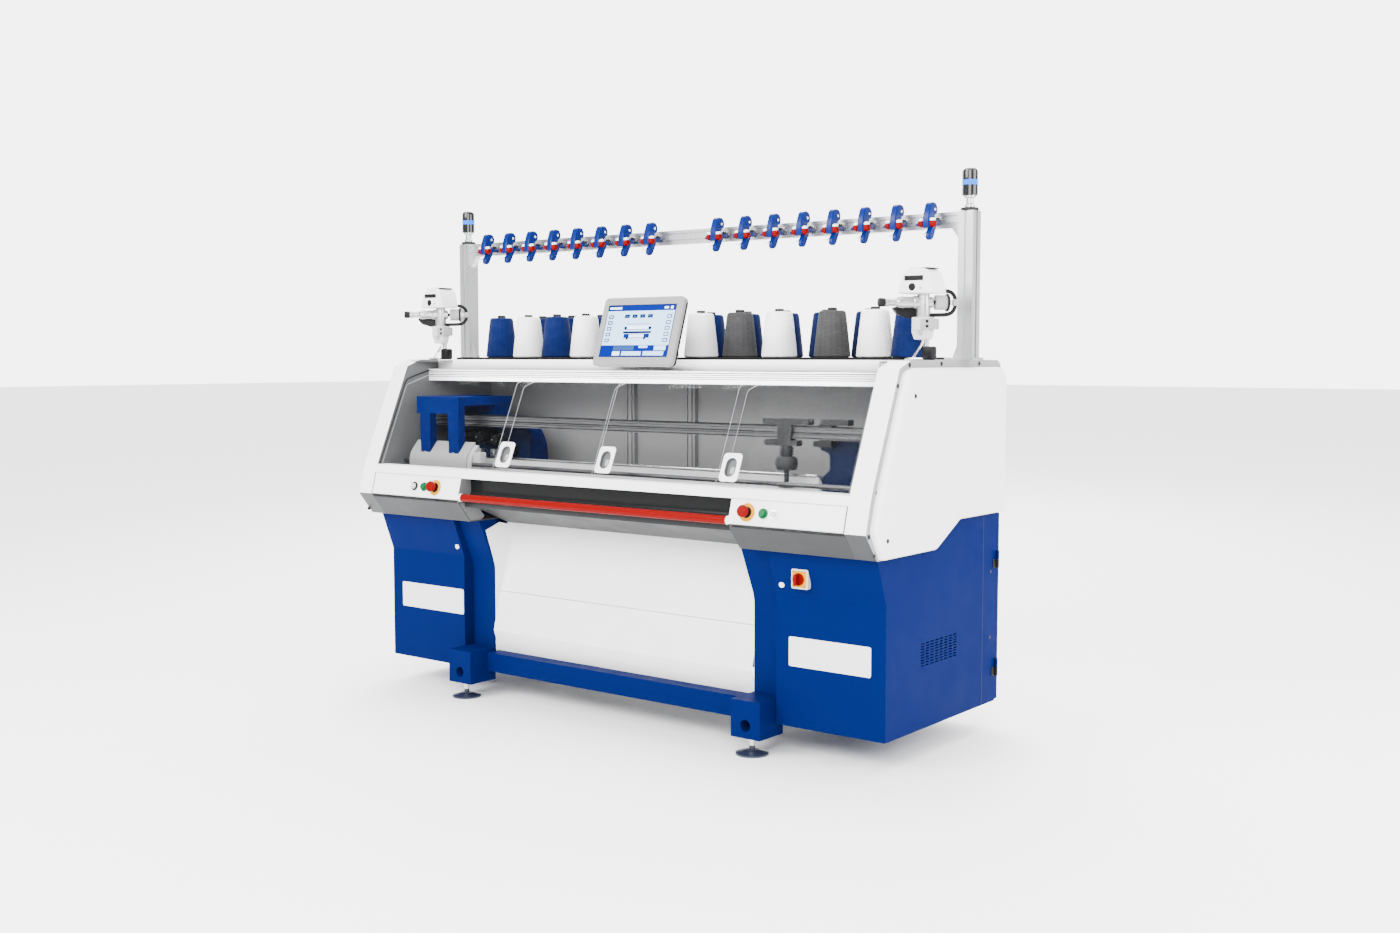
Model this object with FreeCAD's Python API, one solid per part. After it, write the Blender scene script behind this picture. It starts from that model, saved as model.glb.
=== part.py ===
import FreeCAD, Part
import math
import os

# Flat knitting machine, in millimetres, +Z up.
# Everything is drawn with X = 0 midway between the end frames, Y = 0 on the cabinets' front
# face, +Y towards the back and Z = 0 on the floor.  The last step moves the whole machine so
# that the origin lies in the middle of its overall box, on the floor.

# ---------------------------------------------------------------- driving dimensions
# body and end frames
frame_outer_x = 1168.0
frame_width = 77.0
frame_top_z = 1291.0
frame_rear_y = 724.0
body_floor_z = 682.0
chin_front_y = -155.0
chin_front_z = 767.0
chin_back_y = -88.0
front_knee_y = -125.0
front_knee_z = 878.0
front_top_y = 36.0
front_top_z = 1264.0
front_bow_radius = 600.0
tail_start_y = 245.0
tail_end_y = 404.0
tail_z = 766.0
tail_radius = 30.0
frame_wall = 5.0
frame_lip = 34.0

# side covers
cover_depth = 26.0
cover_inset = 22.0
cover_wall = 3.0
cover_top_drop = 24.0
cover_edge_radius = 14.0

# cabinets
cabinet_outer_x = 1150.0
cabinet_inner_x = 736.0
cabinet_bottom_z = 100.0
cabinet_bend_z = 533.0
cabinet_lean_y = 55.0
cabinet_rear_y = 742.0
cabinet_wall = 3.0
door_depth = 20.0
door_wall = 2.5
door_gap = 1.0
hinge_radius = 5.0
hinge_offset = 6.5
hinge_length = 60.0
hinge_leaf = 2.5
hinge_leaf_width = 26.0
hinge_low_z = 220.0
hinge_high_z = 600.0

# base frame
leg_inner_x = 616.0
leg_width = 117.0
leg_front_y = 45.0
leg_depth = 60.0
leg_reach_y = -35.0
leg_curve_z = 500.0
block_front_y = -87.0
block_bottom_z = 58.0
block_top_z = 183.0
block_bore_radius = 20.0
block_bore_z = 100.0
beam_bottom_z = 98.0
beam_top_z = 170.0
beam_depth = 60.0
rear_block_depth = 120.0
foot_y = -50.0
foot_inset = 2.0
foot_radius = 55.0
foot_height = 16.0
stem_radius = 10.0
nut_radius = 17.0
nut_height = 10.0

# fabric chute and take-down
side_plate = 4.0
sheet = 3.0
chute_top_y = 160.0
chute_top_z = 705.0
chute_seam_y = 70.0
chute_seam_z = 400.0
chute_bend_y = 35.0
chute_bend_z = 252.0
chute_foot_y = 62.0
chute_seam_gap = 2.0
guard_front_y = -104.0
guard_front_z = 752.0
guard_back_y = 112.0
guard_back_z = 663.0
roller_radius = 22.0
roller_z = 752.0
roller_y = 186.0
roller_pinch = 1.0
roller_cheek = 24.0
journal_radius = 9.0
running_clearance = 0.06

# front ledge, panels and start bar
ledge_top_z = 881.0
ledge_bottom_z = 849.0
ledge_depth = 62.0
panel_left_end_x = -605.0
panel_right_end_x = 653.0
panel_gap = 7.0
bar_radius = 14.0
bar_y = -138.0
bar_z = 777.0
bar_bush_radius = 20.0
bar_bush_length = 12.0
recess_depth = 60.0

# sliding windows
pane = 3.0
front_track_inset = 5.0
track_pitch = 16.0
track_drop = 14.0
groove_depth = 8.0
groove_slack = 0.5
pane_edges_x = [-1085.0, -430.0, 45.0, 600.0, 1085.0]
pane_overlap = 25.0
pane_top_y = 168.0
pane_top_z = 1244.0
pane_crest_z = 1203.0
pane_level = 20.0
pane_bend_radius = 22.0
handle_width = 74.0
handle_height = 98.0
handle_corner = 14.0
handle_proud = 2.5
handle_cup_width = 42.0
handle_cup_height = 66.0
handle_cup_depth = 8.0
handle_floor = 1.5
handle_low = 12.0
handle_edge = 10.0

# shelf and back
shelf_half_x = 1000.0
shelf_front_y = 198.0
shelf_front_bottom_z = 1254.0
shelf_sheet = 4.0
mat_thickness = 9.0
mat_front_gap = 14.0
track_rail_front_y = 150.0
light_rail_bottom_z = 1206.0
inner_wall_y = 500.0
rear_cover_y = 716.0

# needle beds and guides
bed_thickness = 34.0
bed_run = 92.0
front_bed_y = 100.0
front_bed_z = 858.0
rear_bed_y = 150.0
rear_bed_z = 905.0
bed_cheek = 12.0
guide_radius = 8.0
front_guide_y = 20.0
rear_guide_y = 292.0
guide_z = 888.0
feeder_first_y = 105.0
feeder_pitch_y = 40.0
feeder_thickness = 10.0
feeder_bottom_z = 1032.0
feeder_top_z = 1072.0
feeder_groove = 2.5
casting_start_x = 800.0
casting_front_y = 170.0
casting_rear_y = 400.0
casting_bottom_z = 780.0
casting_top_z = 1031.0

# carriage
carriage_left_x = -993.0
carriage_right_x = -660.0
cover_front_radius = 66.0
cover_centre_y = 2.0
cover_centre_z = 905.0
cover_back_y = 56.0
cover_bottom_z = 866.0
bow_left_x = -1013.0
bow_right_x = -775.0
bow_leg_left = 70.0
bow_leg_right = 58.0
bow_front_y = 14.0
bow_leg_depth = 34.0
bow_top_z = 1146.0
bow_under_z = 1112.0
bow_arch_z = 1080.0
rear_head_left_x = -1000.0
rear_head_right_x = -600.0
rear_head_front_y = 222.0
rear_head_rear_y = 330.0
rear_head_top_z = 1066.0
rear_head_round = 150.0
carriage_travel = 1370.0

# yarn carriers
carrier_slack = 0.4
carrier_one_x = 702.0
carrier_two_x = 838.0

# belt drive
pulley_x = 1040.0
pulley_z = 830.0
pulley_radius = 35.0
belt_y = 436.0
belt_width = 20.0
belt_thickness = 2.5
pulley_shaft_radius = 8.0

# creel: columns, rail, brakes, lamps
column_size = 54.0
column_outer_x = 1205.0
column_front_y = 432.0
column_top_z = 1776.0
column_slot = 9.0
column_slot_depth = 6.0
column_plate = 8.0
column_plate_margin = 10.0
rail_bottom_z = 1723.0
rail_height = 52.0
rail_depth = 26.0
brake_pitch = 125.0
brake_count = 8
brake_group_centres = [-559.0, 631.0]
brake_width = 24.0
brake_axis_z = 1745.0
brake_reach = 48.0
knob_radius = 13.0
knob_length = 17.0
lamp_radius = 26.0
lamp_height = 84.0
lamp_stem_radius = 15.0

# touch screen
screen_x = 43.0
screen_width = 372.0
screen_height = 258.0
screen_depth = 38.0
screen_tilt_deg = 18.0
screen_centre_y = 139.0
screen_centre_z = 1388.0
screen_corner = 16.0
pivot_radius = 9.0

# yarn feed units
feed_x = 1127.0
feed_y = 250.0
feed_axis_z = 1474.0
feed_turn_deg = 45.0
feed_head_width = 140.0
feed_head_depth = 96.0
feed_head_top = 110.0
feed_head_bottom = 34.0
spool_radius = 24.0
spool_ring = 5.0
spool_length = 44.0
spool_start = 38.0
cage_gap = 4.0
spool_shaft_radius = 7.0

# yarn cones
cone_base_radius = 64.0
cone_top_radius = 46.0
cone_height = 161.0
cone_tip_radius = 17.0
cone_tip_height = 10.0
cone_front_y = 400.0
cone_back_y = 560.0
cone_front_x = [-925.0, -770.0, -612.0, -457.0, -300.0, -142.0, 115.0, 293.0, 466.0, 688.0, 860.0, 995.0]
cone_back_x = [-845.0, -680.0, -520.0, -360.0, -200.0, 40.0, 210.0, 385.0, 560.0, 740.0, 900.0]

# operator controls
button_radius = 11.0
button_height = 9.0
bezel_radius = 15.0
bezel_height = 5.0
estop_radius = 20.0
estop_height = 16.0
estop_neck = 14.0
collar_radius = 30.0
collar_height = 4.0
control_z = 808.0
left_controls_x = [-850.0, -795.0, -735.0]
right_controls_x = [722.0, 786.0, 826.0]
switch_x = 850.0
switch_z = 593.0
switch_plate = 64.0
switch_box_depth = 14.0
switch_knob_radius = 20.0
switch_knob_height = 24.0

# ---------------------------------------------------------------- worked-out values
frame_inner_x = frame_outer_x - frame_width
leg_outer_x = leg_inner_x + leg_width
foot_x = leg_inner_x + leg_width / 2 + foot_inset
door_rear_y = cabinet_rear_y + door_depth
hinge_x = cabinet_outer_x + hinge_offset
door_low_z = cabinet_bottom_z + 5.0
door_high_z = tail_z - 6.0
shelf_under_z = frame_top_z - shelf_sheet
column_inner_x = column_outer_x - column_size
column_mid_x = column_outer_x - column_size / 2
column_mid_y = column_front_y + column_size / 2
roller_front_y = roller_y - 2 * roller_radius - roller_pinch
rear_foot_y = cabinet_rear_y - rear_block_depth / 2

parts = {}


# ---------------------------------------------------------------- plain geometry helpers
def vec(x, y, z):
    return FreeCAD.Vector(x, y, z)


def box(x0, x1, y0, y1, z0, z1):
    return Part.makeBox(x1 - x0, y1 - y0, z1 - z0, vec(x0, y0, z0))


def rod(start, direction, radius, length):
    return Part.makeCylinder(radius, length, start, direction)


def group(shapes):
    solids = []
    for shape in shapes:
        solids.extend(shape.Solids)
    return Part.makeCompound(solids)


def fuse(shapes):
    first = shapes[0]
    return first.fuse(shapes[1:]).removeSplitter()


def mirrored(shape):
    return shape.mirror(vec(0, 0, 0), vec(1, 0, 0))


def plane_point(plane, point, along):
    if plane == "YZ":
        return vec(along, point[0], point[1])
    if plane == "XZ":
        return vec(point[0], along, point[1])
    return vec(point[0], point[1], along)


def unit_2d(a, b):
    length = math.hypot(b[0] - a[0], b[1] - a[1])
    return ((b[0] - a[0]) / length, (b[1] - a[1]) / length)


def corner_arc(before, here, after, radius):
    """Tangent points and middle point of a rounded corner."""
    back = unit_2d(here, before)
    ahead = unit_2d(here, after)
    half = math.acos(max(-1.0, min(1.0, back[0] * ahead[0] + back[1] * ahead[1]))) / 2
    reach = radius / math.tan(half)
    bisect = unit_2d((0, 0), (back[0] + ahead[0], back[1] + ahead[1]))
    centre_far = radius / math.sin(half)
    start = (here[0] + back[0] * reach, here[1] + back[1] * reach)
    end = (here[0] + ahead[0] * reach, here[1] + ahead[1] * reach)
    depth = centre_far - radius
    middle = (here[0] + bisect[0] * depth, here[1] + bisect[1] * depth)
    return start, middle, end


def profile(plane, points, radii, low, high):
    """A closed outline with rounded corners, extruded square to its plane."""
    edges = []
    count = len(points)
    corners = []
    for i in range(count):
        if radii[i] > 0:
            corners.append(corner_arc(points[i - 1], points[i], points[(i + 1) % count], radii[i]))
        else:
            corners.append((points[i], None, points[i]))
    for i in range(count):
        start, middle, end = corners[i]
        if middle:
            three = [plane_point(plane, p, low) for p in (start, middle, end)]
            edges.append(Part.Arc(three[0], three[1], three[2]).toShape())
        leave = plane_point(plane, end, low)
        arrive = plane_point(plane, corners[(i + 1) % count][0], low)
        if leave.distanceToPoint(arrive) > 1e-6:
            edges.append(Part.makeLine(leave, arrive))
    face = Part.Face(Part.Wire(edges))
    return face.extrude(plane_point(plane, (0, 0), high - low))


def offset_path(points, radii, distance):
    """The open path moved to its left by distance, with its corner radii kept concentric."""
    moved = []
    new_radii = []
    for i in range(len(points)):
        if i == 0:
            ahead = unit_2d(points[0], points[1])
            moved.append((points[0][0] - ahead[1] * distance, points[0][1] + ahead[0] * distance))
            new_radii.append(0.0)
            continue
        back = unit_2d(points[i - 1], points[i])
        if i == len(points) - 1:
            moved.append((points[i][0] - back[1] * distance, points[i][1] + back[0] * distance))
            new_radii.append(0.0)
            continue
        ahead = unit_2d(points[i], points[i + 1])
        cross = back[0] * ahead[1] - back[1] * ahead[0]
        dot = back[0] * ahead[0] + back[1] * ahead[1]
        scale = distance / (1 + dot)
        moved.append((points[i][0] + (-back[1] - ahead[1]) * scale,
                      points[i][1] + (back[0] + ahead[0]) * scale))
        side = -1.0 if cross > 0 else 1.0
        new_radii.append(max(0.0, radii[i] + side * distance) if radii[i] > 0 else 0.0)
    return moved, new_radii


def folded(plane, points, radii, thickness, low, high):
    """A sheet bent along an open path; the metal lies on the left of the path."""
    other, other_radii = offset_path(points, radii, thickness)
    outline = list(points) + other[::-1]
    rounding = [0.0] + list(radii[1:-1]) + [0.0, 0.0] + other_radii[1:-1][::-1] + [0.0]
    return profile(plane, outline, rounding, low, high)


def front_y_at(z):
    """Y of the body's front surface at a height between the chin and the top."""
    if z <= front_knee_z:
        share = (z - chin_front_z) / (front_knee_z - chin_front_z)
        return chin_front_y + share * (front_knee_y - chin_front_y)
    share = (z - front_knee_z) / (front_top_z - front_knee_z)
    return front_knee_y + share * (front_top_y - front_knee_y)


# ---------------------------------------------------------------- base frame and feet
def leg():
    reach = [(leg_front_y, beam_bottom_z), (leg_front_y, leg_curve_z), (leg_reach_y, body_floor_z),
             (leg_reach_y + leg_depth * 1.6, body_floor_z), (leg_front_y + leg_depth, leg_curve_z),
             (leg_front_y + leg_depth, beam_bottom_z)]
    return profile("YZ", reach, [0, 150, 0, 0, 150, 0], leg_inner_x, leg_outer_x)


def foot_block(front, rear):
    return box(leg_inner_x, leg_outer_x, front, rear, block_bottom_z, block_top_z)


def lifting_bore():
    start = vec(leg_inner_x + leg_width / 2, block_front_y - 1, block_bore_z)
    return rod(start, vec(0, 1, 0), block_bore_radius, leg_front_y - block_front_y + 1)


def base_side():
    side_beam = box(leg_inner_x, leg_outer_x, leg_front_y, cabinet_rear_y, beam_bottom_z, beam_top_z)
    rear_block = foot_block(cabinet_rear_y - rear_block_depth, cabinet_rear_y)
    side = fuse([leg(), foot_block(block_front_y, leg_front_y), side_beam, rear_block])
    return side.cut(lifting_bore())


def base_frame():
    front = box(-leg_inner_x, leg_inner_x, 0, beam_depth, beam_bottom_z, beam_top_z)
    rear = box(-leg_inner_x, leg_inner_x, cabinet_rear_y - beam_depth, cabinet_rear_y, beam_bottom_z, beam_top_z)
    return fuse([base_side(), mirrored(base_side()), front, rear])


def levelling_foot(x, y):
    disc = rod(vec(x, y, 0), vec(0, 0, 1), foot_radius, foot_height * 0.4)
    dome = Part.makeCone(foot_radius, stem_radius * 2, foot_height * 0.6, vec(x, y, foot_height * 0.4))
    stem = rod(vec(x, y, foot_height * 0.5), vec(0, 0, 1), stem_radius, block_bottom_z - foot_height * 0.5)
    nut_start = block_bottom_z - nut_height
    nut = Part.Face(Part.makePolygon(hexagon(x, y, nut_start, nut_radius))).extrude(vec(0, 0, nut_height))
    return fuse([disc, dome, stem, nut])


def hexagon(x, y, z, radius):
    ring = []
    for i in range(7):
        angle = math.radians(60 * i)
        ring.append(vec(x + radius * math.cos(angle), y + radius * math.sin(angle), z))
    return ring


def levelling_feet():
    feet = []
    for side in (-1, 1):
        feet.append(levelling_foot(side * foot_x, foot_y))
        feet.append(levelling_foot(side * foot_x, rear_foot_y))
    return group(feet)


# ---------------------------------------------------------------- cabinets
def cabinet_outline(inset):
    top = body_floor_z - inset
    return [(inset, cabinet_bottom_z + inset), (inset, cabinet_bend_z),
            (inset - cabinet_lean_y, top), (tail_start_y, top),
            (tail_end_y, tail_z - inset), (cabinet_rear_y, tail_z - inset),
            (cabinet_rear_y, cabinet_bottom_z + inset)]


def vent_slots():
    slots = []
    for row in range(9):
        for column in range(8):
            y = 220.0 + 31.0 * column
            z = 305.0 + 9.0 * row
            slots.append(box(cabinet_outer_x - 2 * cabinet_wall, cabinet_outer_x + 1, y, y + 22, z, z + 4))
    return Part.makeCompound(slots)


def cabinet_right():
    outer = profile("YZ", cabinet_outline(0), [0, 30, 0, tail_radius, tail_radius, 0, 0],
                    cabinet_inner_x, cabinet_outer_x)
    inner_points = cabinet_outline(cabinet_wall)
    inner_points[5] = (cabinet_rear_y + 1, tail_z - cabinet_wall)
    inner_points[6] = (cabinet_rear_y + 1, cabinet_bottom_z + cabinet_wall)
    inner = profile("YZ", inner_points, [0] * 7, cabinet_inner_x + cabinet_wall, cabinet_outer_x - cabinet_wall)
    return outer.cut(inner).cut(vent_slots())


def rear_door_right():
    x0 = cabinet_inner_x + 2
    pan = box(x0, cabinet_outer_x, cabinet_rear_y + door_gap, door_rear_y, door_low_z, door_high_z)
    hollow = box(x0 + door_wall, cabinet_outer_x - door_wall, cabinet_rear_y, door_rear_y - door_wall,
                 door_low_z + door_wall, door_high_z - door_wall)
    shell = pan.cut(hollow)
    lock = rod(vec(x0 + 30, door_rear_y, 430), vec(0, 1, 0), 11, 6)
    return fuse([shell, lock] + [door_knuckle(z) for z in (hinge_low_z, hinge_high_z)])


def door_knuckle(z):
    """The half of a hinge that the door carries: a knuckle above the cabinet's knuckle."""
    barrel = rod(vec(hinge_x, cabinet_rear_y, z + 0.5), vec(0, 0, 1), hinge_radius, hinge_length / 2 - 0.5)
    tab = box(cabinet_outer_x - 4, hinge_x, cabinet_rear_y + door_gap, cabinet_rear_y + door_gap + 3,
              z + 0.5, z + hinge_length / 2)
    return fuse([barrel, tab])


def cabinet_hinge(z):
    leaf = box(cabinet_outer_x, cabinet_outer_x + hinge_leaf, cabinet_rear_y - hinge_leaf_width,
               cabinet_rear_y - 1, z - hinge_length / 2, z)
    barrel = rod(vec(hinge_x, cabinet_rear_y, z - hinge_length / 2), vec(0, 0, 1), hinge_radius, hinge_length / 2)
    tab = box(cabinet_outer_x, hinge_x, cabinet_rear_y - 6, cabinet_rear_y - 1, z - hinge_length / 2, z)
    return fuse([leaf, barrel, tab])


def door_hinges():
    right = [cabinet_hinge(z) for z in (hinge_low_z, hinge_high_z)]
    return group(right + [mirrored(h) for h in right])


# ---------------------------------------------------------------- end frames and side covers
def body_outline(inset):
    """The end frame's outline, moved inwards by inset."""
    return [(chin_front_y + inset, chin_front_z + inset * 0.4),
            (front_knee_y + inset * 1.05, front_knee_z),
            (front_top_y + inset * 0.8, front_top_z - inset * 0.4),
            (front_top_y + 70, frame_top_z - inset),
            (frame_rear_y - inset, frame_top_z - inset),
            (frame_rear_y - inset, tail_z + inset),
            (tail_end_y + inset * 0.4, tail_z + inset),
            (tail_start_y + inset * 0.4, body_floor_z + inset),
            (chin_back_y + inset * 0.5, body_floor_z + inset)]


def end_frame_right():
    radii = [6, front_bow_radius, 12, 30, 40, 4, tail_radius, tail_radius, 6]
    outer = profile("YZ", body_outline(0), radii, frame_inner_x, frame_outer_x)
    pocket = profile("YZ", body_outline(frame_lip), [0] * 9, frame_inner_x + frame_wall, frame_outer_x + 1)
    holes = [rod(vec(frame_inner_x - 1, y, guide_z), vec(1, 0, 0), guide_radius, frame_wall + 2)
             for y in (front_guide_y, rear_guide_y)]
    return fuse([outer.cut([pocket] + holes), corner_flange()])


def corner_flange():
    """The flat corner between the frame's front and the end of the shelf's front strip."""
    corners = [(frame_inner_x + 1, front_top_y + 24), (shelf_half_x, shelf_front_y), (frame_inner_x + 1, shelf_front_y)]
    return profile("XY", corners, [0, 0, 0], frame_top_z - 2 * shelf_sheet, shelf_under_z)


def cover_outline(inset):
    points = body_outline(cover_inset + inset)
    points[3] = (points[3][0], frame_top_z - cover_top_drop - inset)
    points[4] = (frame_rear_y - inset, frame_top_z - cover_top_drop - inset)
    points[5] = (frame_rear_y - inset, tail_z + inset + 4)
    points[6] = (tail_end_y + inset * 0.4, tail_z + inset + 4)
    points[7] = (tail_start_y + inset * 0.4, body_floor_z + inset + 3)
    points[8] = (chin_back_y + inset * 0.5 + 8, body_floor_z + inset + 3)
    return points


def side_cover_right():
    radii = [16, front_bow_radius, 40, 30, 55, 12, 40, 40, 16]
    outer = profile("YZ", cover_outline(0), radii, frame_outer_x, frame_outer_x + cover_depth)
    rim = [e for e in outer.Edges if e.BoundBox.XMin > frame_outer_x + cover_depth - 0.1]
    outer = outer.makeFillet(cover_edge_radius, rim)
    hollow = profile("YZ", cover_outline(cover_wall), [max(r - cover_wall, 0) for r in radii],
                     frame_outer_x - 1, frame_outer_x + cover_depth - cover_edge_radius)
    return outer.cut(hollow)


# ---------------------------------------------------------------- ledge, panels, belly
def ledge_groove_y(track):
    return front_y_at(ledge_top_z) + front_track_inset + track * track_pitch


def front_ledge():
    back_y = front_y_at(ledge_bottom_z) + ledge_depth
    section = [(front_y_at(ledge_bottom_z), ledge_bottom_z), (front_y_at(ledge_top_z), ledge_top_z),
               (back_y, ledge_top_z), (back_y, ledge_bottom_z)]
    bar = profile("YZ", section, [0, 3, 3, 0], -frame_inner_x, frame_inner_x)
    grooves = []
    for track in range(2):
        y = ledge_groove_y(track)
        half = pane / 2 + groove_slack
        grooves.append(box(-frame_inner_x - 1, frame_inner_x + 1, y - half, y + half,
                           ledge_top_z - groove_depth, ledge_top_z + 1))
    hollow = box(-frame_inner_x + 4, frame_inner_x - 4, back_y - 24, back_y - 4,
                 ledge_bottom_z - 1, ledge_top_z - 4)
    return bar.cut(grooves + [hollow])


def control_panel(x0, x1):
    """A shallow sheet-metal box whose face follows the body's front."""
    low = chin_front_z
    high = ledge_bottom_z
    face = [(front_y_at(low), low), (front_y_at(high), high), (front_y_at(high) + 58, high),
            (front_y_at(high) + 58, low + 20), (front_y_at(low) + 40, low)]
    shell = profile("YZ", face, [4, 0, 0, 0, 0], x0, x1)
    hollow = [(front_y_at(low) + 4, low + 3), (front_y_at(high) + 3, high - 3), (front_y_at(high) + 59, high - 3),
              (front_y_at(high) + 59, low + 24), (front_y_at(low) + 42, low + 3)]
    return shell.cut(profile("YZ", hollow, [0] * 5, x0 + 3, x1 - 3))


def panel_normal():
    """Unit vector out of the control panels' face, as (y, z)."""
    rise = ledge_bottom_z - chin_front_z
    run = front_y_at(ledge_bottom_z) - chin_front_y
    length = math.hypot(rise, run)
    return (-rise / length, run / length)


def panel_spot(x, stand_off):
    """A point on the control panels' face at x, moved out along the face's normal."""
    out = panel_normal()
    return vec(x, front_y_at(control_z) + out[0] * stand_off, control_z + out[1] * stand_off)


def panel_axis():
    out = panel_normal()
    return vec(0, out[0], out[1])


def bore_for_stem(x, radius):
    return rod(panel_spot(x, -12), panel_axis(), radius, 24)


def control_panel_left():
    panel = control_panel(-frame_inner_x, panel_left_end_x)
    holes = [bore_for_stem(x, 6 + running_clearance) for x in left_controls_x[1:]]
    return panel.cut(holes)


def control_panel_right():
    panel = control_panel(panel_right_end_x, frame_inner_x)
    holes = [bore_for_stem(x, 6 + running_clearance) for x in right_controls_x[:2]]
    return panel.cut(holes)


def belly_panel():
    """The grey sheets under the control panels, and the slanted guard between them."""
    top = chin_front_z - panel_gap
    chin = [(chin_front_y + 4, top), (chin_back_y, body_floor_z), (guard_back_y, body_floor_z)]
    back = [(front_y_at(chin_front_z) + 46, top), (chin_front_y + 4, top)]
    path = back + chin[1:]
    left = folded("YZ", path, [0, 4, 4, 0], sheet, -frame_inner_x, panel_left_end_x)
    right = folded("YZ", path, [0, 4, 4, 0], sheet, panel_right_end_x, frame_inner_x)
    guard_path = [(guard_front_y, guard_front_z + 18), (guard_front_y, guard_front_z), (guard_back_y, guard_back_z)]
    guard = folded("YZ", guard_path, [0, 5, 0], sheet, panel_left_end_x, panel_right_end_x)
    return group([left, right, guard])


def recess_panel():
    """The dark trough behind the start bar: down from the ledge, then forward to the guard."""
    top_y = front_y_at(ledge_bottom_z) + recess_depth
    path = [(top_y - 10, ledge_bottom_z), (top_y - 10, guard_front_z + 40), (guard_front_y + sheet, guard_front_z + 18)]
    return folded("YZ", path, [0, 20, 0], sheet, panel_left_end_x, panel_right_end_x)


def start_bar():
    x0 = panel_left_end_x - 3
    length = panel_right_end_x - panel_left_end_x + 6
    bar = rod(vec(panel_left_end_x + bar_bush_length + 0.5, bar_y, bar_z), vec(1, 0, 0), bar_radius,
              length - 6 - 2 * bar_bush_length - 1)
    core = rod(vec(x0 + 1, bar_y, bar_z), vec(1, 0, 0), bar_radius - 5, length - 2)
    return fuse([bar, core])


def bar_bushes():
    hole = rod(vec(panel_left_end_x - 4, bar_y, bar_z), vec(1, 0, 0), bar_radius - 5 + running_clearance,
               panel_right_end_x - panel_left_end_x + 8)
    bushes = []
    for x0 in (panel_left_end_x, panel_right_end_x - bar_bush_length):
        bushes.append(rod(vec(x0, bar_y, bar_z), vec(1, 0, 0), bar_radius + 1, bar_bush_length).cut(hole))
    return bushes, hole


# ---------------------------------------------------------------- windows
def pane_path(track):
    inset = front_track_inset + track * track_pitch
    low_z = ledge_top_z - groove_depth + groove_slack
    top_z = pane_top_z - track * track_drop
    crest_z = pane_crest_z - track * track_pitch * 0.8
    return [(ledge_groove_y(track), low_z), (ledge_groove_y(track), ledge_top_z + 6),
            (front_y_at(crest_z) + inset, crest_z), (pane_top_y - pane_level, top_z), (pane_top_y, top_z)]


def pane_solid(x0, x1, track):
    path = pane_path(track)
    shifted, ignored = offset_path(path, [0] * 5, -pane / 2)
    shifted[0] = (path[0][0] + pane / 2, path[0][1])
    return folded("YZ", shifted, [0, 24, pane_bend_radius, pane_bend_radius, 0], pane, x0, x1)


def pane_span(index):
    x0 = pane_edges_x[index] - (pane_overlap if index > 0 else 0)
    return x0, pane_edges_x[index + 1]


def pane_track(index):
    """Panes 0 and 2 run in the rear track, panes 1 and 3 in the front one."""
    return 0 if index % 2 else 1


def handle_frame(index):
    """Centre of the handle, as (x, y, z), and the pane's slope angle there."""
    x0, x1 = pane_span(index)
    x = x0 + handle_edge + handle_width / 2
    path = pane_path(pane_track(index))
    low, high = path[1], path[2]
    angle = math.atan2(high[0] - low[0], high[1] - low[1])
    up = handle_low + handle_height / 2
    return x, low[0] + math.sin(angle) * up, low[1] + math.cos(angle) * up, angle


def handle_block(width, height, corner, near, far):
    """A rounded plate on the XZ plane, from Y = near to Y = far."""
    w = width / 2
    h = height / 2
    return profile("XZ", [(-w, -h), (w, -h), (w, h), (-w, h)], [corner] * 4, near, far)


def placed_on_pane(shape, index):
    x, y, z, angle = handle_frame(index)
    moved = shape.copy()
    moved.rotate(vec(0, 0, 0), vec(1, 0, 0), -math.degrees(angle))
    moved.translate(vec(x, y, z))
    return moved


def window_handle(index):
    half = pane / 2
    flange = handle_block(handle_width, handle_height, handle_corner, -half - handle_proud, -half)
    cup = handle_block(handle_cup_width + 4, handle_cup_height + 4, 22, -half, half + handle_cup_depth)
    pocket = handle_block(handle_cup_width, handle_cup_height, 20, -half - handle_proud - 1,
                          half + handle_cup_depth - handle_floor)
    return placed_on_pane(fuse([flange, cup]).cut(pocket), index)


def window(index):
    x0, x1 = pane_span(index)
    solid = pane_solid(x0, x1, pane_track(index))
    if index == 0:
        return solid
    opening = handle_block(handle_cup_width + 4, handle_cup_height + 4, 22, -20, 20)
    return solid.cut(placed_on_pane(opening, index))


# ---------------------------------------------------------------- shelf, rails, walls
def top_shelf():
    rear_y = rear_cover_y
    deck = box(-frame_inner_x, frame_inner_x, shelf_front_y, rear_y, shelf_under_z, frame_top_z)
    lip = box(-shelf_half_x, shelf_half_x, shelf_front_y, shelf_front_y + shelf_sheet,
              shelf_front_bottom_z, shelf_under_z)
    return fuse([deck, lip])


def shelf_mat():
    return box(-shelf_half_x + 6, shelf_half_x - 6, shelf_front_y + mat_front_gap, cone_back_y + 90,
               frame_top_z, frame_top_z + mat_thickness)


def shelf_rail():
    """The white rail under the shelf, with one slot for each window track."""
    y0 = track_rail_front_y
    section = [(y0, light_rail_bottom_z), (y0, shelf_front_bottom_z), (shelf_front_y + shelf_sheet, shelf_front_bottom_z),
               (shelf_front_y + shelf_sheet, shelf_under_z), (shelf_front_y + 24, shelf_under_z),
               (shelf_front_y + 24, light_rail_bottom_z)]
    rail = profile("YZ", section, [3, 0, 0, 0, 0, 3], -frame_inner_x, frame_inner_x)
    slots = []
    for track in range(2):
        z = pane_path(track)[-1][1]
        half = pane / 2 + groove_slack
        slots.append(box(-frame_inner_x - 1, frame_inner_x + 1, y0 - 1, pane_top_y + groove_slack, z - half, z + half))
    return rail.cut(slots)


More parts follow.
